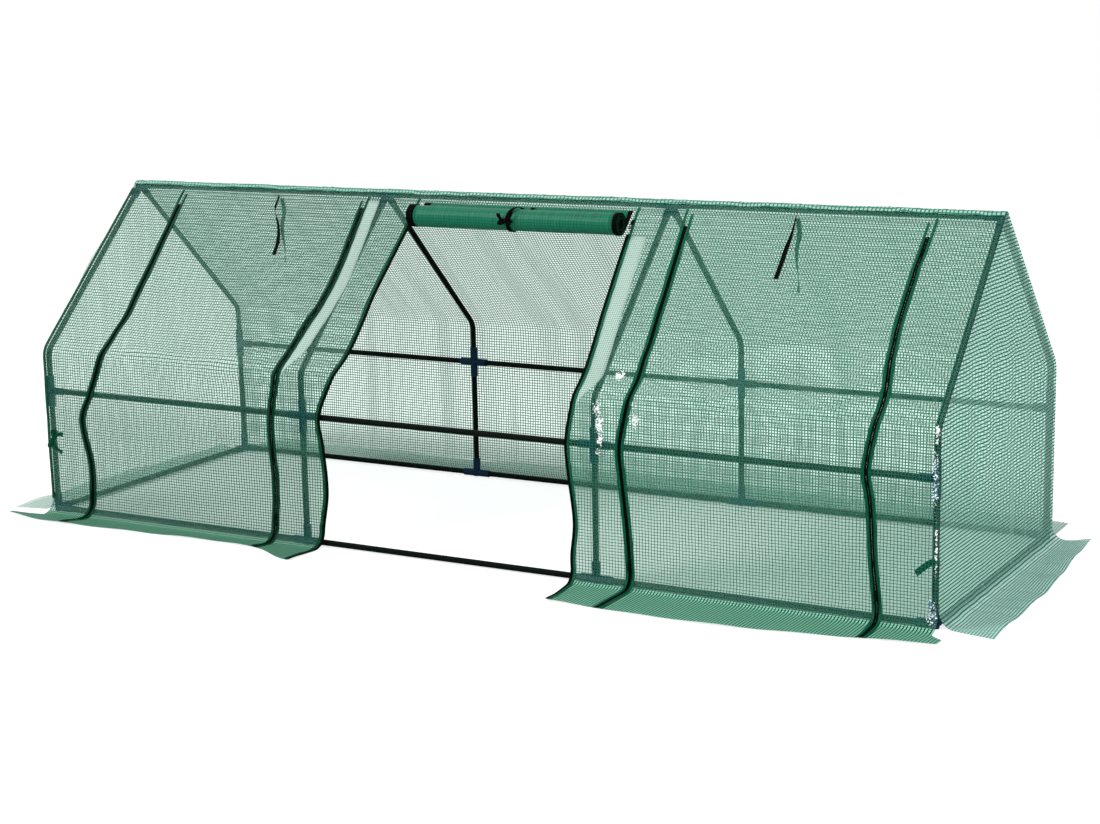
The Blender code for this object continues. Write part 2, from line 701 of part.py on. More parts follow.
def make_sliders(zip_metal):
    """Six zip sliders: four at the foot of the shut doors, two at the top of the open one."""
    slider = slider_mesh()
    for name in ZIPS:
        opened = is_open(name)
        station = HIGH_STATION if opened else LOW_STATION
        inset = strip_side(name) * TEETH_INSET if opened else 0.0
        depth, height, heading = film_place(station)
        out = Vector((0, math.sin(heading), math.cos(heading)))
        place = Vector((zip_x(name, station) + inset, -depth, height))
        add_part(
            f"zip_slider_{name}",
            slider,
            zip_metal,
            place + out * SLIDER_LIFT,
            (-heading if opened else math.pi / 2, 0, 0),
        )


def main():
    clear_scene()
    tube_paint = make_material("tube_paint", (0.012, 0.022, 0.018), 0.42, 0.0)
    film = make_material("reinforced_film", (0.33, 0.62, 0.50), 0.35, 0.0)
    ribbon_cloth = make_material("ribbon_cloth", (0.01, 0.01, 0.012), 0.8, 0.0)
    zip_metal = make_material("zip_slider_enamel", (0.015, 0.016, 0.018), 0.35, 0.6)
    make_frames(tube_paint)
    make_rails(tube_paint)
    make_fixed_cover(film)
    for side, name in ((-1, "left"), (1, "right")):
        add_film(f"cover_end_{name}", end_panel(side), film)
    make_doors(film)
    make_middle_door(film, ribbon_cloth)
    make_hanging_ribbons(ribbon_cloth)
    make_sliders(zip_metal)


main()
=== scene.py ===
# %% [markdown]
# # A mini greenhouse under a film cover
#
# The real thing is a steel tube frame on plastic connectors, with a cover of clear
# green film that has a woven grid inside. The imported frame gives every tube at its
# real place. This script makes what the eye meets first: the film with its folds,
# the hems and zips of the three doors, the rolled door and the ribbons.
#
# Lengths are in metres. X runs along the ridge, the doors face -Y and Z is up.

# %% Load the frame
from math import atan2, cos, exp, hypot, pi, radians, sin, sqrt, tan

import bmesh
import bpy
from mathutils import Matrix, Vector, noise


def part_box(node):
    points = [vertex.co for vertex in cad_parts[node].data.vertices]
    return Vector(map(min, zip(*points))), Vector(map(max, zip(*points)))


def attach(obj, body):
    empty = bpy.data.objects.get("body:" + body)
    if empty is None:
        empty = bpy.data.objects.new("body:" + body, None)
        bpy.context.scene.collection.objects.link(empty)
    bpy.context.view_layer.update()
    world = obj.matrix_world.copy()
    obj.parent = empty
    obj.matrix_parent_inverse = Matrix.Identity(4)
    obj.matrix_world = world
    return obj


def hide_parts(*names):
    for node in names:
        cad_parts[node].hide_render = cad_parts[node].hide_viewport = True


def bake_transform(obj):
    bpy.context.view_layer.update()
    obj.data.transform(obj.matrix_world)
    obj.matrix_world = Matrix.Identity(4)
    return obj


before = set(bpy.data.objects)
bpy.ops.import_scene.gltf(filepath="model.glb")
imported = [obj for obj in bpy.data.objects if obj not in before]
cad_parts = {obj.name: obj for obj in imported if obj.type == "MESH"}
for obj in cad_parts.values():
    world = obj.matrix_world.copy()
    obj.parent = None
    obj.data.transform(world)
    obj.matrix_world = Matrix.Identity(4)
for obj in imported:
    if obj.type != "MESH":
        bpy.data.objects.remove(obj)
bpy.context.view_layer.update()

# %% [markdown]
# ## The camera
#
# The camera stands where the photographer stood, to the right of the greenhouse and a
# little above it. It was found by fitting the joints of the tube frame. A camera could
# be set by eye, but then the picture couldn't be laid over the photograph.

# %% The camera
CAMERA_PLACE = (2.9344, -5.0701, 1.5121)
CAMERA_TURN = (78.514, 1.123, 29.241)
CAMERA_LENS = 69.785

def show(thing):
    """Put an object into the scene."""
    bpy.context.scene.collection.objects.link(thing)


camera_data = bpy.data.cameras.new("camera")
camera_data.lens = CAMERA_LENS
camera_data.sensor_width = 36.0
camera = bpy.data.objects.new("camera", camera_data)
camera.location = CAMERA_PLACE
camera.rotation_euler = [radians(angle) for angle in CAMERA_TURN]
show(camera)
bpy.context.scene.camera = camera
print("camera at", CAMERA_PLACE)

# %% [markdown]
# ## Floor, backdrop and light
#
# A pale floor takes the shadow. The eye sees the world as white, while the light that
# falls on the object from it is softer. Two wide lamps give the film its shine. The
# floor is a plain grid of four squares, because only its shadow is seen.

# %% Node helper
class Shade:
    """The nodes of a material or of the world, with short ways to add and join them."""

    def __init__(self, owner):
        owner.use_nodes = True
        owner.node_tree.nodes.clear()
        self.owner = owner
        self.tree = owner.node_tree

    def put(self, value, socket):
        """Join an output to a socket, or give it a plain value."""
        if isinstance(value, bpy.types.NodeSocket):
            self.tree.links.new(value, socket)
        else:
            socket.default_value = value

    def add(self, kind, *inputs, out=0, **settings):
        """Add a node with its first inputs in order and others by name, and return one output."""
        node = self.tree.nodes.new("ShaderNode" + kind)
        for key, value in settings.items():
            if hasattr(node, key):
                setattr(node, key, value)
            else:
                self.put(value, node.inputs[key.replace("_", " ")])
        for socket, value in zip(node.inputs, inputs):
            self.put(value, socket)
        return node.outputs[out] if node.outputs else None

    def math(self, operation, *values):
        return self.add("Math", *values, operation=operation)

    def ramp(self, value, low, high, to_low=0.0, to_high=1.0, ease="LINEAR"):
        """Map a value from one range to another and hold it inside."""
        return self.add("MapRange", value, low, high, to_low, to_high, interpolation_type=ease)

    def colour(self, share, low, high):
        """Return a colour that goes from low to high with share."""
        mix = self.tree.nodes.new("ShaderNodeMix")
        mix.data_type = "RGBA"
        ends = [socket for socket in mix.inputs if socket.type == "RGBA"]
        self.put(share, mix.inputs["Factor"])
        self.put(low, ends[0])
        self.put(high, ends[1])
        return [socket for socket in mix.outputs if socket.type == "RGBA"][0]

    def blend(self, share, first, second):
        return self.add("MixShader", share, first, second)

    def body(self, colour, roughness, shine, **relief):
        """Return a solid surface; Normal may be given for its fine relief."""
        return self.add("BsdfPrincipled", colour, Roughness=roughness, Specular_IOR_Level=shine, **relief)

    def finish(self, surface, kind="OutputMaterial"):
        self.add(kind, surface)
        return self.owner


def new_shade(name):
    return Shade(bpy.data.materials.new(name))


# %% Piece helper
def finished(bm, name, material, thickness=None):
    """Make a bmesh into a smooth piece, with a cloth's thickness where one is given."""
    mesh = bpy.data.meshes.new(name)
    bm.to_mesh(mesh)
    bm.free()
    mesh.materials.append(material)
    mesh.shade_smooth()
    piece = bpy.data.objects.new(name, mesh)
    show(piece)
    if thickness:
        solid = piece.modifiers.new("thickness", "SOLIDIFY")
        solid.thickness = thickness
        solid.offset = 0
    return piece


# %% Floor
FLOOR_COLOUR = 0.82
FLOOR_SEEN = 0.48
FLOOR_GLOW = 0.70
FLOOR_REACH = 14.0
FLOOR_GAP = 0.0012
BEHIND = (0.45, 1.30)
MIRROR_LOSS = 0.6

bm = bmesh.new()
bmesh.ops.create_grid(bm, x_segments=2, y_segments=2, size=FLOOR_REACH)
bmesh.ops.translate(bm, vec=(0, 0, -FLOOR_GAP), verts=bm.verts)
shade = new_shade("pale floor")
# The eye sees the floor as white far behind, and where no film lies before it.
bare = shade.math("LESS_THAN", shade.add("LightPath", out="Transparent Depth"), 0.5)
depth = shade.add("SeparateXYZ", shade.add("TexCoord", out="Object"), out="Y")
white = shade.math("MAXIMUM", bare, shade.ramp(depth, *BEHIND, ease="SMOOTHSTEP"))
seen = shade.math("MULTIPLY", white, shade.add("LightPath", out="Is Camera Ray"))
mirrored = shade.add("LightPath", out="Is Glossy Ray")
grey = shade.math("MULTIPLY_ADD", seen, FLOOR_SEEN - FLOOR_COLOUR, FLOOR_COLOUR)
grey = shade.math("MULTIPLY", grey, shade.math("MULTIPLY_ADD", mirrored, -MIRROR_LOSS, 1.0))
glow = shade.add("Emission", Strength=shade.math("MULTIPLY", seen, FLOOR_GLOW))
floor = finished(bm, "floor", shade.finish(shade.add("AddShader", shade.add("BsdfDiffuse", grey), glow)))
print("floor:", floor.name)

# %% World and lamps
SKY_LIGHT = 0.70

world = bpy.data.worlds.new("studio")
shade = Shade(world)
seen = shade.math("MAXIMUM", shade.add("LightPath", out="Is Camera Ray"),
                  shade.add("LightPath", out="Is Transmission Ray"))
strength = shade.math("ADD", shade.math("MULTIPLY", seen, 1.0 - SKY_LIGHT), SKY_LIGHT)
height = shade.add("SeparateXYZ", shade.add("TexCoord", out="Generated"), out="Z")
ceiling = shade.ramp(height, 0.15, 0.70, 0.30, 1.40, ease="SMOOTHSTEP")
mirrored = shade.add("LightPath", out="Is Glossy Ray")
strength = shade.math("MULTIPLY_ADD", shade.math("SUBTRACT", ceiling, strength), mirrored, strength)
shade.finish(shade.add("Background", (1, 1, 1, 1), strength), "OutputWorld")
bpy.context.scene.world = world

def add_lamp(name, place, target, size, power):
    data = bpy.data.lights.new(name, "AREA")
    data.shape = "DISK"
    data.size = size
    data.energy = power
    lamp = bpy.data.objects.new(name, data)
    lamp.location = place
    lamp.rotation_euler = (Vector(target) - Vector(place)).to_track_quat("-Z", "Y").to_euler()
    show(lamp)


add_lamp("key lamp", (-2.6, -3.6, 4.2), (0, 0, 0.3), 2.4, 190)
add_lamp("side lamp", (4.2, -2.0, 3.2), (0.4, 0, 0.3), 1.8, 90)
bpy.context.scene.view_settings.view_transform = "Standard"
print("world and two lamps")

# %% [markdown]
# ## The film's section
#
# The cover has one section along its whole length: over the ridge tube, down the
# slope, round the bend of the rafters, down the wall and out over the floor. A point
# on the film is named by its X and by its distance from the ridge along the film, so
# hems, zips and folds all follow the same cloth.

# %% Section of the film
def middle_of(node):
    low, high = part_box(node)
    return (low + high) / 2


WALL_RISE = 0.468
RIDGE_Z = middle_of("ridge_rail_middle").z
BASE_Z = middle_of("base_rail_front_middle").z
HALF_DEPTH = -middle_of("base_rail_front_middle").y
HALF_LENGTH = -middle_of("base_end_bar_left").x
BAY = 2 * HALF_LENGTH / 3
EAVE_Z = BASE_Z + WALL_RISE
MID_Z = middle_of("mid_rail_front_middle").z
SLOPE = atan2(RIDGE_Z - EAVE_Z, HALF_DEPTH)
BEND_RADIUS = 0.045
STAND_OFF = 0.0125
FLARE_RADIUS = 0.040
FILM = 0.00025
EAVE_TURN = pi / 2 - SLOPE
BEND_TANGENT = BEND_RADIUS * tan(EAVE_TURN / 2)
RIDGE_ARC = STAND_OFF * SLOPE
SLOPE_LINE = hypot(RIDGE_Z - EAVE_Z, HALF_DEPTH) - BEND_TANGENT
EAVE_ARC = (BEND_RADIUS + STAND_OFF) * EAVE_TURN
WALL_LINE = EAVE_Z - BEND_TANGENT - FLARE_RADIUS - FILM
FLARE_ARC = FLARE_RADIUS * pi / 2
LONGEST_SKIRT = 0.1525
SECTION = (
    (RIDGE_ARC, -SLOPE),
    (SLOPE_LINE, 0.0),
    (EAVE_ARC, -EAVE_TURN),
    (WALL_LINE, 0.0),
    (FLARE_ARC, pi / 2),
    (LONGEST_SKIRT, 0.0),
)
SEAM = 0.045
FILM_TOP = SEAM + 0.001
EAVE_FOLD = RIDGE_ARC + SLOPE_LINE + EAVE_ARC / 2
WALL_START = RIDGE_ARC + SLOPE_LINE + EAVE_ARC
FLARE_START = WALL_START + WALL_LINE
SKIRT_START = FLARE_START + FLARE_ARC
SKIRT_END = SKIRT_START + LONGEST_SKIRT


# %% Point of the section
def film_place(distance):
    """Return the depth, the height and the heading of the taut film at a distance."""
    depth, height, heading = 0.0, RIDGE_Z + STAND_OFF, 0.0
    for length, turn in SECTION:
        part = min(length, distance)
        share = turn * part / length
        chord = part if turn == 0 else 2 * sin(share / 2) * length / turn
        depth += chord * cos(heading + share / 2)
        height += chord * sin(heading + share / 2)
        heading += share
        distance -= part
        if distance <= 0:
            break
    return depth, height, heading


print(f"film from ridge to skirt edge: {SKIRT_END:.3f} m")

# %% [markdown]
# ## Zip lines and skirt edge
#
# The six zips don't run straight, because the film is slack. Each is given by its X at
# a few distances, and a smooth curve goes through them. The skirt's edge is given the
# same way along X.

# %% Curves through given places
def through(value, places, levels):
    """Return the height at value of a smooth curve through levels at places."""
    if value <= places[0]:
        return levels[0]
    if value >= places[-1]:
        return levels[-1]
    index = max(i for i, place in enumerate(places) if place <= value)
    last = len(places) - 1

    def slope_at(i):
        low = max(0, i - 1)
        high = min(last, i + 1)
        return (levels[high] - levels[low]) / (places[high] - places[low])

    width = places[index + 1] - places[index]
    t = (value - places[index]) / width
    start = levels[index] * (1 + 2 * t) * (1 - t) ** 2 + slope_at(index) * width * t * (1 - t) ** 2
    end = levels[index + 1] * t * t * (3 - 2 * t) - slope_at(index + 1) * width * t * t * (1 - t)
    return start + end


def eased(value, low, high):
    """Return 0 below low, 1 above high and a smooth rise between them."""
    t = min(1.0, max(0.0, (value - low) / (high - low)))
    return t * t * (3 - 2 * t)


def bump(value, start, stop):
    """Return a rise from 0 at start to 1 half way and back to 0 at stop."""
    if not start < value < stop:
        return 0.0
    return sin(pi * (value - start) / (stop - start)) ** 2


# %% Zip lines and skirt edges
ZIP_STATIONS = (0.05, 0.36, 0.60, 0.76, 0.84, 0.97, 1.08, 1.25)
ZIPS = {
    "left_door_left": (-1.150, -1.135, -1.130, -1.190, -1.225, -1.200, -1.205, -1.235),
    "left_door_right": (-0.500, -0.478, -0.510, -0.545, -0.548, -0.540, -0.547, -0.560),
    "middle_door_left": (-0.312, -0.325, -0.320, -0.385, -0.377, -0.368, -0.385, -0.400),
    "middle_door_right": (0.362, 0.384, 0.402, 0.374, 0.380, 0.395, 0.386, 0.410),
    "right_door_left": (0.522, 0.544, 0.558, 0.528, 0.533, 0.547, 0.554, 0.556),
    "right_door_right": (1.185, 1.180, 1.205, 1.180, 1.191, 1.199, 1.210, 1.222),
}
SKIRT_STATIONS = (-1.50, -1.30, -0.90, -0.55, -0.40, 0.40, 0.84, 1.22, 1.50)
FRONT_SKIRT = (0.020, 0.065, 0.046, 0.048, 0.115, 0.140, 0.1525, 0.098, 0.050)
REAR_SKIRT = (0.110, 0.120, 0.140, 0.128, 0.1525, 0.1525, 0.135, 0.146, 0.110)


def zip_x(name, distance):
    return through(distance, ZIP_STATIONS, ZIPS[name])


def strip_side(name):
    """Return which side of a zip its fixed strip is on: -1 left, 1 right."""
    return -1 if name.endswith("left") else 1


def zip_line(name, shift):
    """Return a line beside a zip, as a function that gives its X at a distance."""
    return lambda distance: zip_x(name, distance) + shift


def skirt_at(x, side):
    levels = FRONT_SKIRT if side < 0 else REAR_SKIRT
    return min(LONGEST_SKIRT, through(x, SKIRT_STATIONS, levels))


# %% [markdown]
# ## Folds of the slack film
#
# Real film never lies flat. It sags between the rafters, billows on the walls, and
# pulls into soft folds where a tube or a zip holds it. The folds are sums of waves,
# each kept to the part of the cover where the photograph shows it. A cloth simulation
# could make them too, but waves come out the same each time.

# %% Folds
ZIP_EASE = 0.080

def ridge_fold(x, distance, start, stop, width, height):
    """Return the height of one long soft fold between two points on the film."""
    along = Vector(stop) - Vector(start)
    reach = along.length
    along.normalize()
    offset = Vector((x, distance)) - Vector(start)
    run = offset.dot(along)
    if not -width < run < reach + width:
        return 0.0
    across = offset.x * along.y - offset.y * along.x
    ends = eased(run, -width, width) * (1 - eased(run, reach - width, reach + width))
    return height * ends * exp(-(across / width) ** 2)


FRONT_FOLDS = (
    ((-0.50, 0.46), (-0.80, 0.72), 0.040, 0.010),
    ((-0.52, 0.66), (-1.05, 0.62), 0.030, 0.006),
    ((-1.13, 0.55), (-0.85, 0.70), 0.035, 0.006),
    ((0.55, 0.50), (0.80, 0.68), 0.035, 0.007),
    ((0.56, 0.62), (1.00, 0.70), 0.030, 0.005),
    ((1.20, 0.46), (0.95, 0.74), 0.040, 0.008),
    ((1.18, 0.20), (1.33, 0.06), 0.018, 0.006),
    ((1.20, 0.26), (1.34, 0.12), 0.016, 0.004),
)


# %% Slack of the film
def slack(x, distance, side):
    """Return how far the film stands out from its taut section."""
    bay = sin(pi * (x + HALF_LENGTH) / BAY) ** 2
    crease = sin(9.0 * x + 11.0 * distance)
    sag = -0.010 * bump(distance, SEAM, EAVE_FOLD) * bay * (1 + 0.35 * crease)
    billow = 0.005 * bump(distance, WALL_START, FLARE_START)
    billow *= (0.25 + 0.75 * bay) * (1 + 0.5 * sin(23.0 * x))
    fine = noise.noise(Vector((7.0 * x, 9.0 * distance, 3.0 * side)))
    small = noise.noise(Vector((26.0 * x, 19.0 * distance, 5.0 * side)))
    free = bump(distance, 0.02, 1.3)
    stand = sag + free * (0.0022 * fine + 0.0010 * small)
    if side > 0:
        run_down = sin(95.0 * x + 9.0 * distance + 2.0 * fine)
        stand += 0.0016 * run_down * bump(distance, 0.02, WALL_START + 0.05)
        return stand + billow
    off_zip = min(abs(x - zip_x(name, distance)) for name in ZIPS)
    stand += billow * eased(off_zip, 0.012, ZIP_EASE)
    for start, stop, width, height in FRONT_FOLDS:
        stand += ridge_fold(x, distance, start, stop, width, height)
    return stand


# %% Point of the film
def film_at(x, distance, side=-1, lift=0.0):
    """Return the point of the film at X and a distance, raised by lift out of it."""
    run = distance - SKIRT_START
    floor_wave = 0.0
    if run > 0:
        distance = SKIRT_START + run * skirt_at(x, side) / LONGEST_SKIRT
        ripple = 0.5 + 0.5 * sin(21.0 * x + 4.0 * side) * sin(9.0 * x)
        floor_wave = 0.0045 * eased(run, 0.01, LONGEST_SKIRT) * ripple
    depth, height, heading = film_place(distance)
    stand = slack(x, distance, side) * (0.0 if run > 0 else 1.0) + lift + floor_wave
    depth -= stand * sin(heading)
    height += stand * cos(heading)
    return Vector((x, side * depth, max(height, FILM + 0.0002)))


print("film at the left bay's middle:", [round(c, 3) for c in film_at(-0.9, 0.3)])

# %% [markdown]
# ## The film's material
#
# The film is clear with a green tint, and a grid of green threads lies in it 8 mm
# apart. The threads follow the cloth, so the pattern is drawn from a UV map that holds
# metres of cloth. A cell between threads tints what is behind it, a thread hides it but
# glows a little when light comes from the far side, and a thin gloss lies over both.
# The cells of the front film scatter some light as well. Each sheet has two faces, so
# each face does half of the work. A picture of the grid could be used instead, but a
# pattern worked out from metres of cloth stays sharp and needs no file.

# %% Thread mask
COLUMN_PITCH = 0.0086
ROW_PITCH = 0.0080
THREAD_SHARE = 0.25
THREAD_BLUR = 0.05

def thread_mask(shade, fineness=1.0, share=THREAD_SHARE, wobble=0.004, column_share=None):
    """Return 1 on a thread and 0 in a cell, from the piece's own cloth map."""
    cloth = shade.add("UVMap", uv_map="cloth")
    drift = shade.add("TexNoise", cloth, out="Color", Scale=14.0, Detail=1.0)
    centred = shade.add("VectorMath", drift, (0.5, 0.5, 0.5), operation="SUBTRACT")
    moved = shade.add("VectorMath", centred, (wobble, wobble, 0), cloth, operation="MULTIPLY_ADD")
    masks = []
    for axis, pitch, wide in (("X", COLUMN_PITCH, column_share or share), ("Y", ROW_PITCH, share)):
        scaled = shade.math("MULTIPLY", shade.add("SeparateXYZ", moved, out=axis), 2.0 * fineness / pitch)
        wave = shade.math("PINGPONG", scaled, 1.0)
        masks.append(shade.ramp(wave, 1 - wide - THREAD_BLUR, 1 - wide + THREAD_BLUR))
    return shade.math("MAXIMUM", *masks)


# %% Film material
def film_material(name, thread, thread_hides, cell, cell_hides, tint, fineness=1.0, share=THREAD_SHARE,
                  wobble=0.004, gloss=0.08, glow=0.35, column_share=None, patches_per_metre=(2.2, 1.6), haze_and_sheen=0.16,
                  milky=0.0, milk_colour=(0.80, 0.90, 0.86)):
    """Clear film with threads. What hides and tints is given for the whole sheet.

    Two settings give milky patches: how many there are in a metre across and down, and how
    dense they are. The patches are partly the film's own milkiness and partly a painted
    sheen. Milky is the share of the light that the cells scatter everywhere.
    """
    shade = new_shade(name)
    mask = thread_mask(shade, fineness, share, wobble, column_share)
    raised = shade.add("Bump", Strength=0.3, Distance=0.0004, Height=mask)
    colour = shade.colour(mask, (*cell, 1), (*thread, 1))
    back_lit = shade.add("BsdfTranslucent", colour)
    lit = shade.blend(glow, shade.body(colour, 0.5, 0.06, Normal=raised), back_lit)
    clear = shade.add("BsdfTransparent", (*[sqrt(part) for part in tint], 1))
    # Milky patches: partly the film's own milkiness and partly a painted sheen.
    spread = shade.add("Mapping", shade.add("UVMap", uv_map="cloth"), Scale=(*patches_per_metre, 1.0))
    cloud = shade.add("TexNoise", spread, Scale=1.0, Detail=2.0)
    dense = shade.ramp(cloud, 0.50, 0.68, milky, milky + haze_and_sheen, ease="SMOOTHSTEP")
    clear_with_patches = shade.blend(dense, clear, shade.add("BsdfTranslucent", (*milk_colour, 1)))
    low, high = (1 - sqrt(1 - hides) for hides in (cell_hides, thread_hides))
    film = shade.blend(shade.math("MULTIPLY_ADD", mask, high - low, low), clear_with_patches, lit)
    shine = shade.add("BsdfAnisotropic", Roughness=0.14, Normal=raised)
    grazing = shade.math("MULTIPLY", shade.add("Fresnel", IOR=1.45), gloss)
    return shade.finish(shade.blend(grazing, film, shine))


# %% The films
FRONT_LOOK = {"gloss": 0.04, "haze_and_sheen": 0.02, "milky": 0.09, "milk_colour": (0.74, 1.00, 0.88)}
SKIRT_LOOK = {"glow": 0.1, "column_share": 0.42, "haze_and_sheen": 0.0}
# The left and right front films are one film, given different thread and cell colours as painted light and
# shade for how the light falls on the two halves.
LEFT_FILM = film_material("left film", (0.004, 0.062, 0.036), 0.97, (0.10, 1.00, 0.72), 0.018,
                          (0.94, 1.00, 0.975), share=0.205, **FRONT_LOOK)
RIGHT_FILM = film_material("right film", (0.006, 0.120, 0.068), 0.97, (0.08, 1.00, 0.70), 0.018,
                           (0.91, 1.00, 0.97), share=0.165, **FRONT_LOOK)
# The end film's tall streaks of milky patches stand for its upright folds: partly doubled film and partly the
# painted sheen of the folds.
END_FILM = film_material("end film", (0.018, 0.215, 0.145), 0.95, (0.66, 0.97, 0.87), 0.38,
                         (0.84, 1.00, 0.95), fineness=0.85, share=0.42, column_share=-0.06,
                         patches_per_metre=(17.0, 0.9), haze_and_sheen=0.14)
LEFT_END_FILM = film_material("left end film", (0.050, 0.240, 0.150), 0.60, (0.80, 0.95, 0.88), 0.04,
                              (0.92, 1.00, 0.97), share=0.16)
# The skirts are the front film with darker, greener cells that hide more: partly the film's own pattern and
# partly painted shade of the floor under it.
LEFT_SKIRT = film_material("left skirt", (0.002, 0.060, 0.030), 0.98, (0.28, 0.60, 0.44), 0.75,
                           (0.60, 0.98, 0.80), share=0.22, **SKIRT_LOOK)
RIGHT_SKIRT = film_material("right skirt", (0.001, 0.070, 0.032), 0.98, (0.38, 0.78, 0.60), 0.75,
                            (0.62, 1.00, 0.86), share=0.16, **SKIRT_LOOK)
# The right end's flap on the floor gets a paler copy of the end film: painted light.
FLAP_FILM = film_material("flap film", (0.006, 0.210, 0.145), 0.95, (0.76, 1.00, 0.94), 0.40,
                          (0.88, 1.00, 0.97), share=0.34, column_share=-0.06, patches_per_metre=(17.0, 0.9), haze_and_sheen=0.22)
print("film materials:", LEFT_FILM.name, RIGHT_FILM.name, END_FILM.name)

# %% [markdown]
# ## Sheets of film
#
# Every sheet starts as a flat grid of squares. Each of its points is then laid on the
# film, and its UV map keeps where it was on the flat cloth. A thin Solidify gives the
# sheet its two faces. A sheet could be shaped in place, but then its map would have to
# be unwrapped.

# %% Sheet helpers
FINE = 0.0125
ROW_STRETCH = {"left": 0.17, "middle": 0.10, "right": 0.085}

def lerp(low, high, share):
    return low + (high - low) * share


def grid_sheet(name, columns, rows, place, cloth, material, thickness=FILM, flipped=False):
    """Lay a grid: place and cloth take two shares from 0 to 1 and give point and UV."""
    bm = bmesh.new()
    bmesh.ops.create_grid(bm, x_segments=columns, y_segments=rows, size=0.5)
    shares = {vert: (vert.co.x + 0.5, vert.co.y + 0.5) for vert in bm.verts}
    layer = bm.loops.layers.uv.new("cloth")
    for face in bm.faces:
        for loop in face.loops:
            loop[layer].uv = cloth(*shares[loop.vert])
    for vert, (across, down) in shares.items():
        vert.co = place(across, down)
    if flipped:
        bmesh.ops.reverse_faces(bm, faces=bm.faces)
    return finished(bm, name, material, thickness)


# %% Bands of film
def film_band(name, left, right, start, stop, columns, material, lift=0.0, thickness=FILM, rows=None):
    """Lay a sheet on the film between two edge lines, each given as an X at a distance.

    A negative distance is on the front where the band goes on over the ridge.
    """
    front = -1 if start >= 0 else 1
    middle = (left(0.4) + right(0.4)) / 2
    stretch = ROW_STRETCH["left" if middle < -0.2 else "right" if middle > 0.2 else "middle"]

    def spot(across, down):
        distance = lerp(start, stop, down)
        return (lerp(left(abs(distance)), right(abs(distance)), across), distance)

    def cloth(across, down):
        x, distance = spot(across, down)
        run = max(0.0, distance - SKIRT_START)
        laid = run * skirt_at(x, front) / LONGEST_SKIRT
        return (x, distance - run + laid - stretch * min(distance, EAVE_FOLD))

    def place(across, down):
        x, distance = spot(across, down)
        side = front if distance >= 0 else -1
        return film_at(x, abs(distance), side, lift)

    rows = rows or round((stop - start) / FINE)
    return grid_sheet(name, columns, rows, place, cloth, material, thickness, flipped=start < 0)


# %% Looks and joints of a sheet
def skirt_with_painted_shade(piece):
    """Give the part of a front sheet on the floor its skirt film, with painted shade in its cells."""
    piece.data.materials.append(LEFT_SKIRT if piece.data.materials[0] == LEFT_FILM else RIGHT_SKIRT)
    for face in piece.data.polygons:
        if face.center.z < 0.005:
            face.material_index = 1


def side_film(x):
    return LEFT_FILM if x < 0 else RIGHT_FILM


FOLD_TOP = film_at(0, EAVE_FOLD - 0.030)
FOLD_END = film_at(0, EAVE_FOLD + 0.030)

def fixed(piece, flat, rests_on, held="stretched", replaces=(), slot="reinforced_film", body="frame", **more):
    """Join a sheet to a body. Its size laid flat is given but not used.

    A sheet of a shut door is not joined to the door; it is only baked in place.
    """
    if replaces:
        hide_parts(*replaces)
    if body in ("left_door", "right_door"):
        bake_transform(piece)
    else:
        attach(piece, body)


# %% [markdown]
# ## Roof and rear wall
#
# One sheet goes from the top seam of the doors over the ridge, down the back and out
# over the floor. Daylight comes through it from behind, so its threads look paler; this
# is painted light in the rear film's thread colour. It is laid in one go, so its pattern
# runs on over the ridge without a break.

# %% Roof and rear sheet
EDGE_X = HALF_LENGTH + STAND_OFF - 0.0012
# The rear film's paler threads are painted light. Its foot near the floor takes a still paler copy, also
# painted light.
REAR_FILM = film_material("rear film", (0.07, 0.22, 0.155), 0.90, (0.70, 0.90, 0.80), 0.03,
                          (0.86, 0.99, 0.94), share=0.31, patches_per_metre=(11.0, 0.7), haze_and_sheen=0.22)
LIGHT_REAR_FILM = film_material("light rear film", (0.10, 0.28, 0.20), 0.72, (0.70, 0.90, 0.80), 0.03,
                                (0.90, 1.00, 0.96), share=0.20)

roof = film_band(
    "roof_and_rear_film", lambda d: -EDGE_X, lambda d: EDGE_X, -SEAM, SKIRT_END, 216, REAR_FILM
)
for film in (LIGHT_REAR_FILM, LEFT_FILM, RIGHT_FILM):
    roof.data.materials.append(film)
for face in roof.data.polygons:
    if face.center.y < 0:
        face.material_index = 2 if face.center.x < 0 else 3
    elif face.center.z < 0.05:
        face.material_index = 1
fixed(roof, (2 * EDGE_X, SEAM + SKIRT_END), ["ridge_rail_middle"],
      replaces=("cover_ridge_and_rear_roof", "cover_rear_wall"))
print("roof sheet:", len(roof.data.polygons), "faces")

# %% [markdown]
# ## Front strips
#
# Four strips lie on the rafters between the doors. The end strips' skirts spread
# sideways past the corners, as loose flaps. A strip runs on a little under the zip
# beside it. Its edges follow the same lines as the doors' edges, so the gap between
# them stays even.

# %% Front strips
TEETH_INSET = 0.0065
EDGE_GAP = 0.001
SKIRT_WIDENING = {"left_end": 0.110, "right_end": 0.035}
STRIPS = {
    "left_end": (None, "left_door_left"),
    "left_inner": ("left_door_right", "middle_door_left"),
    "right_inner": ("middle_door_right", "right_door_left"),
    "right_end": ("right_door_right", None),
}

def film_edge(name, shift):
    """Return the line where strip and door part: beside a shut zip, at an open one."""
    inset = 0.0 if name.startswith("middle") else -strip_side(name) * TEETH_INSET
    return zip_line(name, inset + shift)


def corner_line(name, side):
    """Return the line of a corner of the cover, which spreads where the skirt lies flat."""
    def line(distance):
        run = max(0.0, distance - SKIRT_START - 0.01) / LONGEST_SKIRT
        return side * (EDGE_X + SKIRT_WIDENING[name] * min(1.0, 2.5 * run))
    return line


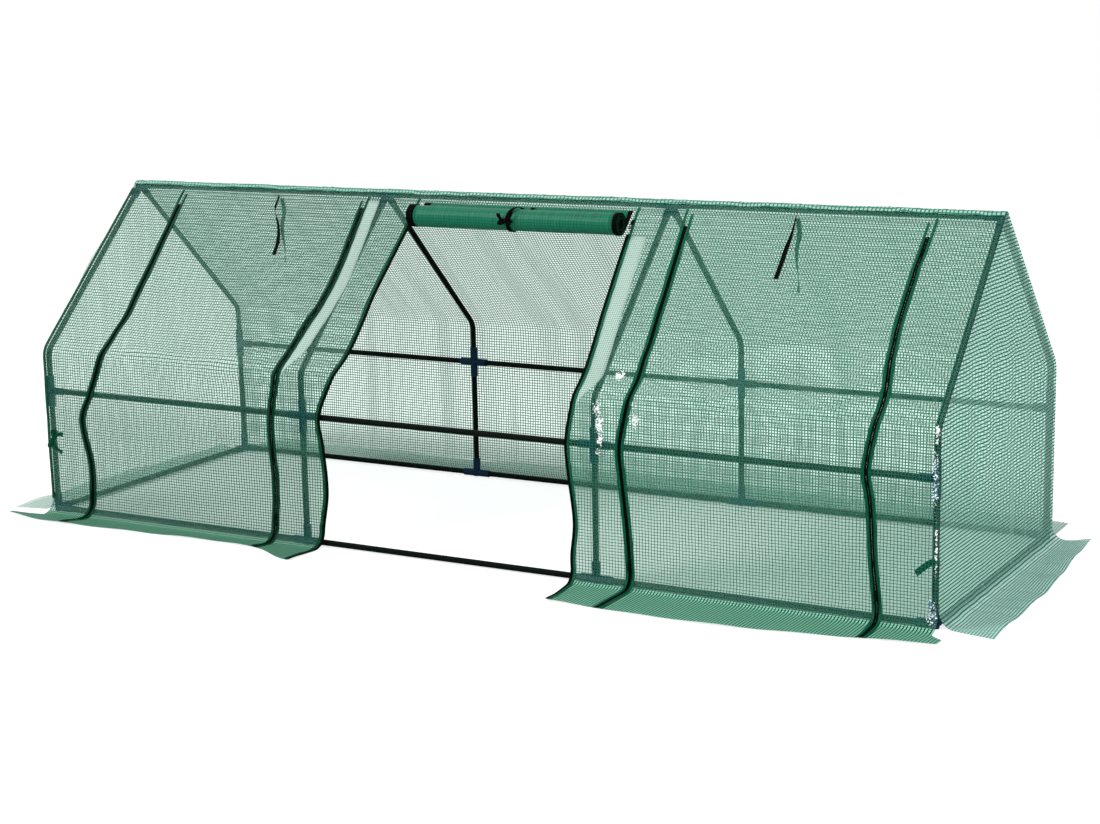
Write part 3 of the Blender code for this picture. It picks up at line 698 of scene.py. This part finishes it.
for strip_name, (left_zip, right_zip) in STRIPS.items():
    left_line = film_edge(left_zip, EDGE_GAP) if left_zip else corner_line(strip_name, -1)
    right_line = film_edge(right_zip, -EDGE_GAP) if right_zip else corner_line(strip_name, 1)
    width = right_line(0.4) - left_line(0.4)
    strip = film_band(f"front_strip_{strip_name}", left_line, right_line, FILM_TOP, SKIRT_END,
                      max(8, round(width / FINE)), side_film(left_line(0.4)))
    skirt_with_painted_shade(strip)
    fixed(strip, (width, SKIRT_END - SEAM), [f"rafter_front_{strip_name}"],
          replaces=(f"cover_front_strip_{strip_name}",))
    print(f"strip {strip_name}: {width:.3f} m wide")

# %% [markdown]
# ## Shut doors
#
# Each shut door is one sheet from its top seam over the bend of the eave to the floor.
# It takes the place of the door's upper and lower panels and is laid where the door is
# shut. Two stiff panels would come apart at the bend, so one sheet is used.

# %% Shut doors
for door in ("left_door", "right_door"):
    door_left = film_edge(f"{door}_left", EDGE_GAP)
    door_right = film_edge(f"{door}_right", -EDGE_GAP)
    panel = film_band(f"{door}_film", door_left, door_right, FILM_TOP, SKIRT_END, 54,
                      side_film(door_left(0.4)))
    skirt_with_painted_shade(panel)
    width = door_right(0.4) - door_left(0.4)
    fixed(panel, (width, SKIRT_END - SEAM), ["mid_rail_front_left"], "hung",
          (f"{door}_upper", f"{door}_lower"), body=door)
    print(f"{door}: {width:.3f} m wide")

# %% [markdown]
# ## End panels
#
# Each end is a flat cut: a gable over a wall, with a flap on the floor. The photograph
# shows upright folds in it, because the film is a little too wide for the frame. The
# folds are waves that die out at the edges, where the film is held.

# %% Shape of an end
END_X = HALF_LENGTH + STAND_OFF
WALL_DEPTH = film_place(FLARE_START)[0]
HALF_SPREAD = 1.500
FLAP_REACH = HALF_SPREAD - END_X - FLARE_RADIUS
END_TOP = 0.006
UPRIGHT_FOLD = 0.0075
BALLOON = 0.034

def end_place(side, across, down):
    distance = lerp(END_TOP, SKIRT_END, down)
    if distance <= FLARE_START:
        depth, height, _ = film_place(distance)
        y = across * depth
        free = bump(distance, 0.06, FLARE_START + 0.02) * (1 - across * across)
        drift = noise.noise(Vector((3 * y, 2 * height, side)))
        waves = 0.5 + 0.5 * sin(41.0 * y + 2.5 * height + 3.0 * drift)
        minor = noise.noise(Vector((24.0 * y, 5.0 * height, 2.0 + side)))
        out = free * (UPRIGHT_FOLD * waves + 0.003 * minor)
        if side < 0:
            ballooned = bump(distance, 0.10, EAVE_FOLD - 0.02) * eased(-across, 0.1, 0.7)
            out += BALLOON * ballooned * (1 - eased(-across, 0.84, 1.0))
        return Vector((side * (END_X + out), y, height))
    run = max(0.0, distance - SKIRT_START)
    reach = FLAP_REACH * (1 - 0.34 * eased(across, -0.2, 1.0))
    spread, height, _ = film_place(distance - run * (1 - reach / LONGEST_SKIRT))
    lift = 0.006 * eased(run, 0.02, LONGEST_SKIRT) * (0.5 + 0.5 * sin(14.0 * across))
    x = END_X + spread - WALL_DEPTH
    return Vector((side * x, across * (WALL_DEPTH - 0.006 + 0.12 * run), height + lift + 0.0002))


# %% End panels
def make_end(side, name):
    def place(across, down):
        return end_place(side, 2 * across - 1, down)

    def cloth(across, down):
        point = end_place(side, 2 * across - 1, down)
        distance = lerp(END_TOP, SKIRT_END, down)
        if distance <= FLARE_START:
            return (point.y, -point.z)
        run = max(0.0, distance - SKIRT_START)
        return (point.y, distance - FLARE_START - run * (1 - FLAP_REACH / LONGEST_SKIRT) - FLARE_RADIUS)

    piece = grid_sheet(f"end_film_{name}", 76, 96, place, cloth, END_FILM if side > 0 else LEFT_END_FILM,
                       flipped=side < 0)
    # The flap on the floor takes the paler flap film: painted light.
    if side > 0:
        piece.data.materials.append(FLAP_FILM)
        for face in piece.data.polygons:
            if face.center.z < 0.006:
                face.material_index = 1
    gable = HALF_DEPTH * (RIDGE_Z - EAVE_Z)
    area = gable + 2 * WALL_DEPTH * (EAVE_Z + FLAP_REACH)
    flat = (2 * WALL_DEPTH + 0.05, RIDGE_Z + FLAP_REACH + 0.03)
    fixed(piece, flat, [f"base_end_bar_{name}"], "hung", (f"cover_end_{name}",), area=area)


for end_side, end_name in ((-1, "left"), (1, "right")):
    make_end(end_side, end_name)
print("two end panels")

# %% [markdown]
# ## Hems and zip tapes
#
# The film's edges along a zip are turned in and sewn down, which makes green bands that
# let less light through. The zip's black tape covers the gap between them. The half on
# the strip is joined to the frame and the half on a shut door is laid in place on it.
# Single teeth would be too small to see, so each half is a flat tape.

# %% Hem and tape materials
# The left and right hems are one hem, coloured apart like the front films: painted light and shade on the two
# halves.
LEFT_HEM = film_material("left hem", (0.001, 0.050, 0.022), 0.98, (0.004, 0.110, 0.055), 0.82,
                         (0.25, 0.75, 0.55), fineness=1.6, share=0.45, glow=0.2, haze_and_sheen=0.0)
RIGHT_HEM = film_material("right hem", (0.001, 0.080, 0.040), 0.98, (0.006, 0.210, 0.120), 0.80,
                          (0.25, 0.80, 0.60), fineness=1.4, share=0.42, glow=0.2, haze_and_sheen=0.0)
PALE_FILM = film_material("pale facing", (0.080, 0.300, 0.200), 0.90, (0.88, 0.98, 0.94), 0.78,
                          (0.90, 1.00, 0.96), fineness=1.5, share=0.20, gloss=0.1)

WEAVE_PITCH = 0.0012

def woven_material(name, light, dark):
    """Woven tape: rows of raised threads across it, in two near shades."""
    shade = new_shade(name)
    cloth = shade.add("UVMap", uv_map="cloth")
    weave = shade.add("TexChecker", cloth, out="Fac", Scale=2.0 / WEAVE_PITCH)
    cloud = shade.add("TexNoise", cloth, Scale=60.0, Detail=2.0)
    share = shade.math("MULTIPLY_ADD", cloud, 0.5, shade.math("MULTIPLY", weave, 0.5))
    raised = shade.add("Bump", Strength=0.5, Distance=0.0004, Height=weave)
    return shade.finish(shade.body(shade.colour(share, dark, light), 0.75, 0.03, Normal=raised))


BLACK_TAPE = woven_material("black tape", (0.0022, 0.0030, 0.0027, 1), (0.0005, 0.0008, 0.0007, 1))
GREEN_TAPE = woven_material("green tape", (0.004, 0.070, 0.036, 1), (0.001, 0.028, 0.014, 1))

# %% Bands along a zip
TAPE_HALF = 0.0050
TAPE_WIDTH = 0.0105
TAPE_START = {
    "left_door_left": 0.088, "left_door_right": 0.075, "middle_door_left": 0.125,
    "middle_door_right": 0.125, "right_door_left": 0.090, "right_door_right": 0.092,
}
STRIP_HEM = {
    "left_door_left": 0.0085, "left_door_right": 0.0080, "middle_door_left": 0.0095,
    "middle_door_right": 0.0080, "right_door_left": 0.0080, "right_door_right": 0.0085,
}
DOOR_HEM = {
    "left_door_left": 0.0090, "left_door_right": 0.0080,
    "right_door_left": 0.0085, "right_door_right": 0.0080,
}
HEM_TOP = SEAM + 0.004
STRIP_HEM_TOP = 0.034
TAPE_THICKNESS = 0.0006
SHUT_TAPE = 0.0002
OPEN_TAPE = -0.0040
OPEN_HEM = 0.0045
LIFTS = {"strip_hem": 0.0016, "strip_tape": 0.0009, "door_hem": 0.0020, "door_tape": 0.0013}
FLAT_LIFT = 0.0012

def zip_band(kind, name, side, near, width, start, material, thickness=FILM):
    """Lay a band along a zip, on one side of its teeth."""
    low, high = sorted((side * near, side * (near + width)))
    piece = film_band(f"{kind}_{name}", zip_line(name, low), zip_line(name, high), start, SKIRT_END - 0.001,
                      2, material, LIFTS[kind], thickness, rows=130)
    body = "frame" if side == strip_side(name) else name.rsplit("_", 1)[0]
    fixed(piece, (max(TAPE_WIDTH, width), SKIRT_END - start), [], "hung", body=body)


# %% Hems and tapes
for name in ZIPS:
    side = strip_side(name)
    is_shut = name in DOOR_HEM
    near = SHUT_TAPE if is_shut else OPEN_TAPE
    hem_near = TAPE_HALF if is_shut else OPEN_HEM
    top = TAPE_START[name]
    hem_film = LEFT_HEM if zip_x(name, 0.4) < 0 else RIGHT_HEM
    zip_band("strip_hem", name, side, hem_near, STRIP_HEM[name], STRIP_HEM_TOP, hem_film)
    zip_band("strip_tape", name, side, near, TAPE_WIDTH, top, BLACK_TAPE, TAPE_THICKNESS)
    if is_shut:
        zip_band("door_hem", name, -side, TAPE_HALF, DOOR_HEM[name], HEM_TOP, hem_film)
        zip_band("door_tape", name, -side, near, TAPE_WIDTH, top, BLACK_TAPE, TAPE_THICKNESS)

left_corner = corner_line("left_end", -1)
corner_hem = film_band("corner_hem_left", left_corner, lambda distance: left_corner(distance) + TAPE_WIDTH,
                       STRIP_HEM_TOP, FLARE_START, 2, LEFT_HEM, FLAT_LIFT, rows=110)
fixed(corner_hem, (TAPE_WIDTH, FLARE_START - STRIP_HEM_TOP), [], "hung")

# %% Pale facings
def lay_facing(name, near, far, start, stop):
    """Lay the pale doubled film beside a hem, which narrows to a point at the eave."""
    def far_edge(distance):
        return zip_x(name, distance) + lerp(far, near + 0.002, eased(distance, stop - 0.10, stop))

    facing = film_band(f"facing_{name}", zip_line(name, near), far_edge, start, stop, 4, PALE_FILM,
                       FLAT_LIFT, rows=60)
    fixed(facing, (far - near - 0.004, stop - start), [], "hung")


lay_facing("left_door_right", 0.0125, 0.050, 0.050, EAVE_FOLD + 0.02)
lay_facing("middle_door_right", 0.0115, 0.057, 0.130, EAVE_FOLD + 0.03)
print("bands along", len(ZIPS), "zips and a corner")

# %% [markdown]
# ## Wrinkles that catch the light
#
# At the bend of the eave and along the right front post the film is crumpled, and the
# crumpled places flash white. Each is a small patch on the film that fades to its rim.
# Folding the film itself so finely would take very many faces, so flecks in a material
# stand for the facets, and their white flecks are a painted highlight.

# %% Crumpled material
def crumpled_glint_material(name, dark, amount):
    """Flecks on a clear patch, the brightest white as a painted highlight, fewer towards the rim of its cloth
    map.
    """
    shade = new_shade(name)
    place = shade.add("TexCoord", out="Object")
    flecks = shade.add("TexNoise", place, Scale=260.0, Detail=3.0)
    clumps = shade.add("TexNoise", place, Scale=45.0, Detail=1.0)
    rim = shade.add("VectorMath", shade.add("UVMap", uv_map="cloth"), out="Value", operation="LENGTH")
    level = shade.math("MULTIPLY_ADD", shade.math("POWER", rim, 2.0), -0.30, amount)
    level = shade.math("ADD", flecks, level)
    level = shade.math("MULTIPLY_ADD", clumps, 0.8, level)
    # White where the flecks are high: a painted highlight.
    white_glint = shade.math("GREATER_THAN", flecks, 0.57)
    painted_glints = shade.body(shade.colour(white_glint, (*dark, 1), (0.93, 0.96, 0.96, 1)), 0.25, 0.5)
    clear = shade.add("BsdfTransparent", (1, 1, 1, 1))
    return shade.finish(shade.blend(shade.ramp(level, 0.97, 1.07), clear, painted_glints))


# %% Crumpled patches
# The white flecks of these patches are painted highlights; the glare patches' other flecks are pale, painted
# glare too.
GLARE = crumpled_glint_material("crumpled glare", (0.80, 0.90, 0.88), 0.12)
BLUE_GLARE = crumpled_glint_material("blue crumpled film", (0.04, 0.20, 0.26), 0.19)
CRUMPLED_GLINTS = (
    ("inner_strip", 0.452, 0.490, 0.610, 0.800, GLARE),
    ("zip_top", 0.490, 0.528, 0.550, 0.600, GLARE),
    ("zip_side", 0.552, 0.588, 0.640, 0.730, GLARE),
    ("corner_top", EDGE_X - 0.014, EDGE_X - 0.0003, 0.620, 0.700, GLARE),
    ("corner_middle", EDGE_X - 0.020, EDGE_X - 0.0003, 0.680, 0.850, BLUE_GLARE),
    ("corner_low", EDGE_X - 0.011, EDGE_X - 0.0003, 0.830, 1.040, GLARE),
    ("corner_foot", EDGE_X - 0.030, EDGE_X - 0.0003, 1.045, 1.125, BLUE_GLARE),
)

ON_THE_DOOR = "zip_side"
CRUMPLE_LIFT = 0.0030

for name, low, high, start, stop, crumpled in CRUMPLED_GLINTS:
    patch = grid_sheet(
        f"crumple_{name}", 8, 24,
        lambda across, down: film_at(lerp(low, high, across), lerp(start, stop, down), -1, CRUMPLE_LIFT),
        lambda across, down: (2 * across - 1, 2 * down - 1), crumpled,
    )
    body = "right_door" if name == ON_THE_DOOR else "frame"
    fixed(patch, (high - low, stop - start), [], "hung", body=body)
print("crumpled patches:", len(CRUMPLED_GLINTS), "eave at", round(EAVE_FOLD, 3), "foot at", round(FLARE_START, 3))

# %% [markdown]
# ## Ridge band
#
# Over the ridge tube the film is doubled where the front pieces are sewn to the roof.
# It puckers along the ridge and looks much darker than one layer. It is one more narrow
# sheet on top of the roof, raised by noise.

# %% Ridge band
RIDGE_FILM = film_material("ridge film", (0.018, 0.290, 0.185), 0.97, (0.74, 0.98, 0.90), 0.68,
                           (0.85, 0.98, 0.92), fineness=0.8, share=0.34, wobble=0.014)
RIDGE_FRONT = 0.018
RIDGE_REAR = 0.012
PUCKER = 0.0030
LONG_WAVE = 0.0022

band = film_band("ridge_band", lambda d: -EDGE_X, lambda d: EDGE_X, -RIDGE_FRONT, RIDGE_REAR, 260,
                 RIDGE_FILM, 0.0016, rows=6)
for vert in band.data.vertices:
    pucker = noise.noise(Vector((90.0 * vert.co.x, 60.0 * vert.co.y, 60.0 * vert.co.z)))
    wave = noise.noise(Vector((6.0 * vert.co.x, 0.0, 4.0)))
    vert.co.z += PUCKER * max(0.0, pucker) + LONG_WAVE * max(0.0, wave)
fixed(band, (2 * EDGE_X, RIDGE_FRONT + RIDGE_REAR), ["ridge_rail_middle"])
print("ridge band done")

# %% [markdown]
# ## The rolled door
#
# The middle door is rolled outwards from its foot and hangs under the ridge. It is one
# long strip of film: a short tail on the slope, then a spiral of eight and a half
# turns. The zip's tape is rolled up with it and shows as a black ring at each end. A
# plain cylinder would do from afar, but its ends would show no turns.

# %% Spiral of the roll
ROLL_LEFT = -0.300
ROLL_RIGHT = 0.355
ROLL_DISTANCE = 0.115
ROLL_RADIUS = 0.0300
ROLL_CORE = 0.0080
ROLL_PITCH = 0.0026
ROLL_TAIL = ROLL_DISTANCE - 0.02 - SEAM - 0.001
ROLL_TURNS = (ROLL_RADIUS - ROLL_CORE) / ROLL_PITCH
TAIL_SHARE = 0.06
SLOPE_DOWN = Vector((0, -cos(SLOPE), -sin(SLOPE)))
SLOPE_OUT = Vector((0, -sin(SLOPE), cos(SLOPE)))

def taut_point(distance):
    depth, height, _ = film_place(distance)
    return Vector((0, -depth, height))


ROLL_CENTRE = taut_point(ROLL_DISTANCE) + SLOPE_OUT * ROLL_RADIUS

def spiral(angle, grow=0.0):
    """Return the point of the roll's spiral at an angle turned from where it touches the slope."""
    spoke = -SLOPE_OUT * cos(angle) + SLOPE_DOWN * sin(angle)
    return ROLL_CENTRE + spoke * (ROLL_RADIUS + grow - ROLL_PITCH * angle / (2 * pi)), spoke


def roll_angle(down):
    """Return how far the spiral has turned at a row below the straight tail."""
    return 2 * pi * ROLL_TURNS * (down - TAIL_SHARE) / (1 - TAIL_SHARE)


def roll_place(x, down, grow):
    """Return a point of the rolled film, on its straight tail or on the spiral."""
    if down < TAIL_SHARE:
        start = taut_point(FILM_TOP)
        point = start.lerp(spiral(0, grow)[0] - SLOPE_DOWN * 0.012, down / TAIL_SHARE)
        return point + Vector((x, 0, 0))
    angle = roll_angle(down)
    point, spoke = spiral(angle, grow)
    wobble = noise.noise(Vector((9.0 * x, 1.5 * cos(angle), 1.5 * sin(angle))))
    share = (x - ROLL_LEFT) / (ROLL_RIGHT - ROLL_LEFT)
    sag = 0.0012 * sin(pi * share)
    return point + spoke * (0.0009 * wobble) + Vector((x, 0, -sag))


def roll_length(down):
    """Return how far along the cloth a row of the roll is."""
    if down < TAIL_SHARE:
        return ROLL_TAIL * down / TAIL_SHARE
    angle = roll_angle(down)
    return ROLL_TAIL + ROLL_RADIUS * angle - ROLL_PITCH * angle * angle / (4 * pi)


print(f"rolled film: {roll_length(1.0):.3f} m long")

# %% Roll material
# The film lies in many layers, so it is dense, with a faint grid and a soft shine.
shade = new_shade("rolled film")
mask = thread_mask(shade)
stretch = shade.add("Mapping", shade.add("UVMap", uv_map="cloth"), Scale=(190.0, 9.0, 1.0))
streak = shade.add("TexNoise", stretch, Scale=1.0, Detail=3.0)
share = shade.math("MULTIPLY_ADD", streak, 0.9, -0.15)
share = shade.math("MULTIPLY_ADD", mask, 0.38, share)
raised = shade.add("Bump", Strength=0.35, Distance=0.0008, Height=share)
colour = shade.colour(share, (0.010, 0.185, 0.102, 1), (0.001, 0.050, 0.026, 1))
ROLLED_FILM = shade.finish(shade.body(colour, 0.40, 0.12, Normal=raised))
print("material:", ROLLED_FILM.name)

# %% Roll and its end rings
LEFT_RING = 0.022
RIGHT_RING = 0.013
RING_GAP = 0.0006
RING_GROW = 0.0008
RING_THICKNESS = 0.0015
ROLL_THICKNESS = 0.0008

def make_roll(name, left, right, columns, material, grow, thickness):
    def place(across, down):
        return roll_place(lerp(left, right, across), down, grow)

    def cloth(across, down):
        return (lerp(left, right, across), roll_length(down))

    piece = grid_sheet(name, columns, 300, place, cloth, material, thickness, flipped=True)
    fixed(piece, (right - left, roll_length(1.0)), ["ridge_rail_middle"], "folded", body="middle_door")
    return piece


def paint_turns(ring, turns):
    """Show the film's green edge in some turns of a ring, counted from outside."""
    ring.data.materials.append(GREEN_TAPE)
    for face in ring.data.polygons:
        out = (face.center - ROLL_CENTRE).yz.length
        turn = int((ROLL_RADIUS + RING_GROW - out) / ROLL_PITCH)
        if turn in turns:
            face.material_index = 1


roll = make_roll("middle_door_film", ROLL_LEFT + LEFT_RING, ROLL_RIGHT - RIGHT_RING, 44, ROLLED_FILM,
                 0, ROLL_THICKNESS)
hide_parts("middle_door_roll")
make_roll("roll_ring_left", ROLL_LEFT, ROLL_LEFT + LEFT_RING - RING_GAP, 3, BLACK_TAPE,
          RING_GROW, RING_THICKNESS)
right_ring = make_roll("roll_ring_right", ROLL_RIGHT - RIGHT_RING + RING_GAP, ROLL_RIGHT, 3, BLACK_TAPE,
                       RING_GROW, RING_THICKNESS)
paint_turns(right_ring, (2, 5))
print("roll:", len(roll.data.polygons), "faces")

# %% [markdown]
# ## Ribbons
#
# Flat woven ribbons hold the doors when they are rolled up. Each is a grid laid along a
# smooth path, with a direction for its width at each point of the path, so it can turn
# and twist as tape does. A curve could be swept into a ribbon too, but a grid gets its
# cloth map at once.

# %% Ribbon helper
def along(points, share):
    """Return the place at a share of a smooth path through points."""
    spots = list(range(len(points)))
    value = share * (len(points) - 1)
    return Vector([through(value, spots, [point[axis] for point in points]) for axis in range(3)])


RIBBON_THICKNESS = 0.0007

def ribbon(name, points, widths, width, material, body, steps=48):
    """Lay a flat ribbon along points; widths are the directions across it at each point."""
    def place(across, down):
        way = along(widths, down).normalized()
        return along(points, down) + way * (width * (across - 0.5))

    length = sum((along(points, (i + 1) / 60) - along(points, i / 60)).length for i in range(60))
    piece = grid_sheet(name, 3, steps, place, lambda a, d: (a * width, d * length), material,
                       RIBBON_THICKNESS)
    fixed(piece, (width, length), [], "hung", slot="ribbon", body=body)
    return piece


ALONG_X = Vector((1, 0, 0))

# %% Hanging ribbons on the shut doors
RIBBON_WIDTH = 0.012
HANGING = {
    "left": ((-0.797, -0.786, -0.752, -0.728, -0.716), 0.212, (0.25, 0.30, 0.9, 1.0, 1.0)),
    "right": ((0.824, 0.829, 0.826, 0.827, 0.828), 0.200, (0.55, 0.8, 1.0, 1.0, 1.0)),
}
INSIDE_DROP = 0.190

for name, (places, length, faces_out) in HANGING.items():
    path = []
    ways = []
    for i, (x, share) in enumerate(zip(places, faces_out)):
        turned = sqrt(1 - share * share)
        stand = 0.0030 + 0.0015 * sin(2.0 * i) + 0.006 * turned
        down = length * i / (len(places) - 1)
        path.append(taut_point(SEAM + 0.003 + down) + SLOPE_OUT * stand + ALONG_X * x)
        ways.append(ALONG_X * share + SLOPE_OUT * turned)
    outer = ribbon(f"{name}_outer_ribbon", path, ways, RIBBON_WIDTH, BLACK_TAPE, f"{name}_ribbon")
    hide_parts(f"{name}_door_tie_ribbon")
    top = taut_point(SEAM) - SLOPE_OUT * 0.006 + ALONG_X * places[0]
    path = []
    ways = []
    for i in range(6):
        swing = Vector((0.004 * sin(1.7 * i), 0.003 * sin(2.3 * i), -INSIDE_DROP * i / 5))
        path.append(top + swing)
        ways.append(Vector((cos(0.5 * i), sin(0.5 * i), 0)))
    ribbon(f"{name}_inner_ribbon", path, ways, RIBBON_WIDTH, GREEN_TAPE, "frame")
print("four hanging ribbons")

# %% [markdown]
# ## Tie around the roll
#
# One ribbon comes out of the seam, goes around the roll and is tied in a bow at the
# front. The bow has a knot, two loops and two loose ends. The knot is a squashed ball
# with grooves, because no more of it can be seen.

# %% Bow helper
TIE_X = 0.026
BOW_RIBBON = 0.0105

LOOP = ((0, 0, 0), (0.9, 0.35, 0.30), (1.7, 0.20, 0.25), (1.2, -0.20, 0.10), (0, 0, 0))
TAILS = {
    -1: ((0, 0, 0), (0.8, -0.5, 0.25), (1.4, -1.50, 0.15), (1.6, -2.50, 0.10)),
    1: ((0, 0, 0), (0.8, -0.5, 0.25), (1.4, -1.05, 0.15), (1.6, -1.75, 0.10)),
}

def bow(name, centre, out, right, size, material, body, tape=BOW_RIBBON):
    """Tie a bow: out points to the viewer and right along the bow."""
    up = out.cross(right).normalized()
    knot = bmesh.new()
    bmesh.ops.create_icosphere(knot, subdivisions=3, radius=1.0)
    axes = Matrix((right * size * 0.34, up * size * 0.36, out * size * 0.24)).transposed().to_4x4()
    for vert in knot.verts:
        groove = 1 + 0.12 * sin(5.0 * vert.co.x + 3.0 * vert.co.y)
        vert.co = axes @ (vert.co * groove) + centre
    layer = knot.loops.layers.uv.new("cloth")
    for face in knot.faces:
        for loop in face.loops:
            loop[layer].uv = ((loop.vert.co - centre).dot(right), (loop.vert.co - centre).dot(up))
    piece = finished(knot, f"{name}_knot", material)
    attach(piece, body)

    def path_of(steps, side):
        return [centre + (right * side * a + up * b + out * c) * size for a, b, c in steps]

    for side in (-1, 1):
        ways = [up * 0.6 + out * 0.5, up, up * 0.5 + out, up + out * 0.3, up * 0.6 + out * 0.5]
        ribbon(f"{name}_loop_{side}", path_of(LOOP, side), ways, tape, material, body, steps=30)
    for side, tail in TAILS.items():
        ways = [up + right, right, right + out * 0.4, right]
        ribbon(f"{name}_tail_{side}", path_of(tail, side), ways, tape, material, body, steps=30)


# %% Tie around the roll
TIE_GROW = 0.0034
tie_points = [taut_point(SEAM + 0.004) - SLOPE_OUT * 0.003]
for step in range(13):
    angle = radians(300) * step / 12
    spoke = -SLOPE_OUT * cos(angle) + SLOPE_DOWN * sin(angle)
    tie_points.append(ROLL_CENTRE + spoke * (ROLL_RADIUS + TIE_GROW))
tie_points.append(taut_point(SEAM + 0.006) + SLOPE_OUT * 0.004)
lean = [0.0] * 8 + [0.004, 0.009, 0.014, 0.018, 0.022, 0.025, 0.028]
tie_points = [point + ALONG_X * (TIE_X + shift) for point, shift in zip(tie_points, lean)]
tie = ribbon("roll_tie", tie_points, [ALONG_X] * len(tie_points), RIBBON_WIDTH, BLACK_TAPE, "middle_door",
             steps=90)
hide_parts("middle_door_tie_ribbon")
bow_out = (SLOPE_DOWN * 0.75 + SLOPE_OUT * 0.65).normalized()
bow_place = ROLL_CENTRE + bow_out * (ROLL_RADIUS + 0.006) + ALONG_X * (TIE_X - 0.004)
bow("roll_bow", bow_place, bow_out, -ALONG_X, 0.0125, BLACK_TAPE, "middle_door")
print("roll tied")

# %% [markdown]
# ## Ties at the corner posts
#
# Inside the cover a short ribbon ties it to each front corner post. The left one ends
# in a bow and the right one in a single tail.

# %% Corner ties
LEFT_TIE = Vector((-HALF_LENGTH, -HALF_DEPTH, 0.19))
RIGHT_TIE = Vector((HALF_LENGTH, -HALF_DEPTH, 0.15))
WRAP_RADIUS = 0.0095
WRAP_CLIMB = 0.0012

def corner_wrap(name, centre):
    """Wind a ribbon twice around a post."""
    path = []
    for step in range(9):
        turn = 0.5 * pi * step
        spoke = Vector((cos(turn), sin(turn), 0))
        path.append(centre + spoke * WRAP_RADIUS + Vector((0, 0, WRAP_CLIMB * turn)))
    ribbon(name, path, [Vector((0, 0, 1))] * len(path), BOW_RIBBON, GREEN_TAPE, "frame", steps=72)


corner_wrap("left_corner_wrap", LEFT_TIE)
bow("left_corner_bow", LEFT_TIE + Vector((0.010, -0.012, 0.030)), Vector((0, -1, 0)),
    Vector((0.35, 0, 0.94)), 0.017, GREEN_TAPE, "frame", 0.014)
corner_wrap("right_corner_wrap", RIGHT_TIE)
STUB = (
    (0.010, -0.0095, 0.016), (-0.010, -0.0105, 0.010),
    (-0.028, -0.0100, -0.004), (-0.046, -0.0090, -0.020),
)
stub = [RIGHT_TIE + Vector(step) for step in STUB]
ribbon("right_corner_tail", stub, [Vector((-0.54, 0, 0.84))] * 4, 0.016, GREEN_TAPE, "frame", steps=20)
print("two corner ties")

# %% [markdown]
# ## Tubes, connectors and sliders
#
# The tubes are powder coated steel, near black, and push into dark blue moulded
# connectors. Both are in one CAD node, so one material paints both, and changes colour
# at the height where the connector's sleeve ends. The CAD's own meshes are used, so
# nothing has to be modelled again.

# %% Tube and slider materials
SLEEVE_REACH = 0.045
TUBE_COLOUR = (0.0020, 0.0042, 0.0035, 1.0)
CONNECTOR_COLOUR = (0.006, 0.020, 0.045, 1.0)
DUST = (0.020, 0.030, 0.027, 1.0)

def coated_material(name, colour=TUBE_COLOUR, sleeve_top=None):
    """Powder coat or moulded plastic; below the top of a sleeve it is always the plastic."""
    shade = new_shade(name)
    place = shade.add("TexCoord", out="Object")
    grain = shade.add("TexNoise", place, Scale=900.0, Detail=2.0)
    wear = shade.add("TexNoise", place, Scale=35.0, Detail=3.0)
    if sleeve_top:
        plastic = shade.math("LESS_THAN", shade.add("SeparateXYZ", place, out="Z"), sleeve_top)
        colour = shade.colour(plastic, colour, CONNECTOR_COLOUR)
    colour = shade.colour(shade.math("MULTIPLY", wear, 0.06), colour, DUST)
    rough = shade.math("MULTIPLY_ADD", wear, 0.16, 0.30)
    raised = shade.add("Bump", Strength=0.15, Distance=0.0003, Height=grain)
    return shade.finish(shade.body(colour, rough, 0.03, Normal=raised))


# %% Paints
RAIL_PAINT = coated_material("powder coat")
POST_PAINT = coated_material("post and base connector", sleeve_top=BASE_Z + SLEEVE_REACH + 0.0006)
RAFTER_PAINT = coated_material("rafter and middle connector", sleeve_top=MID_Z + SLEEVE_REACH + 0.0006)
RIDGE_PLASTIC = coated_material("ridge connector", CONNECTOR_COLOUR)
SLIDER_ENAMEL = coated_material("slider enamel")

PAINTS = {
    "ridge_rail": RAIL_PAINT, "mid_rail": RAIL_PAINT, "base_": RAIL_PAINT, "post_": POST_PAINT,
    "rafter_": RAFTER_PAINT, "ridge_connector": RIDGE_PLASTIC, "zip_slider": SLIDER_ENAMEL,
}
painted = 0
for name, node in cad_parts.items():
    for start, material in PAINTS.items():
        if name.startswith(start):
            node.data.materials.clear()
            node.data.materials.append(material)
            painted += 1
print("painted nodes:", painted)
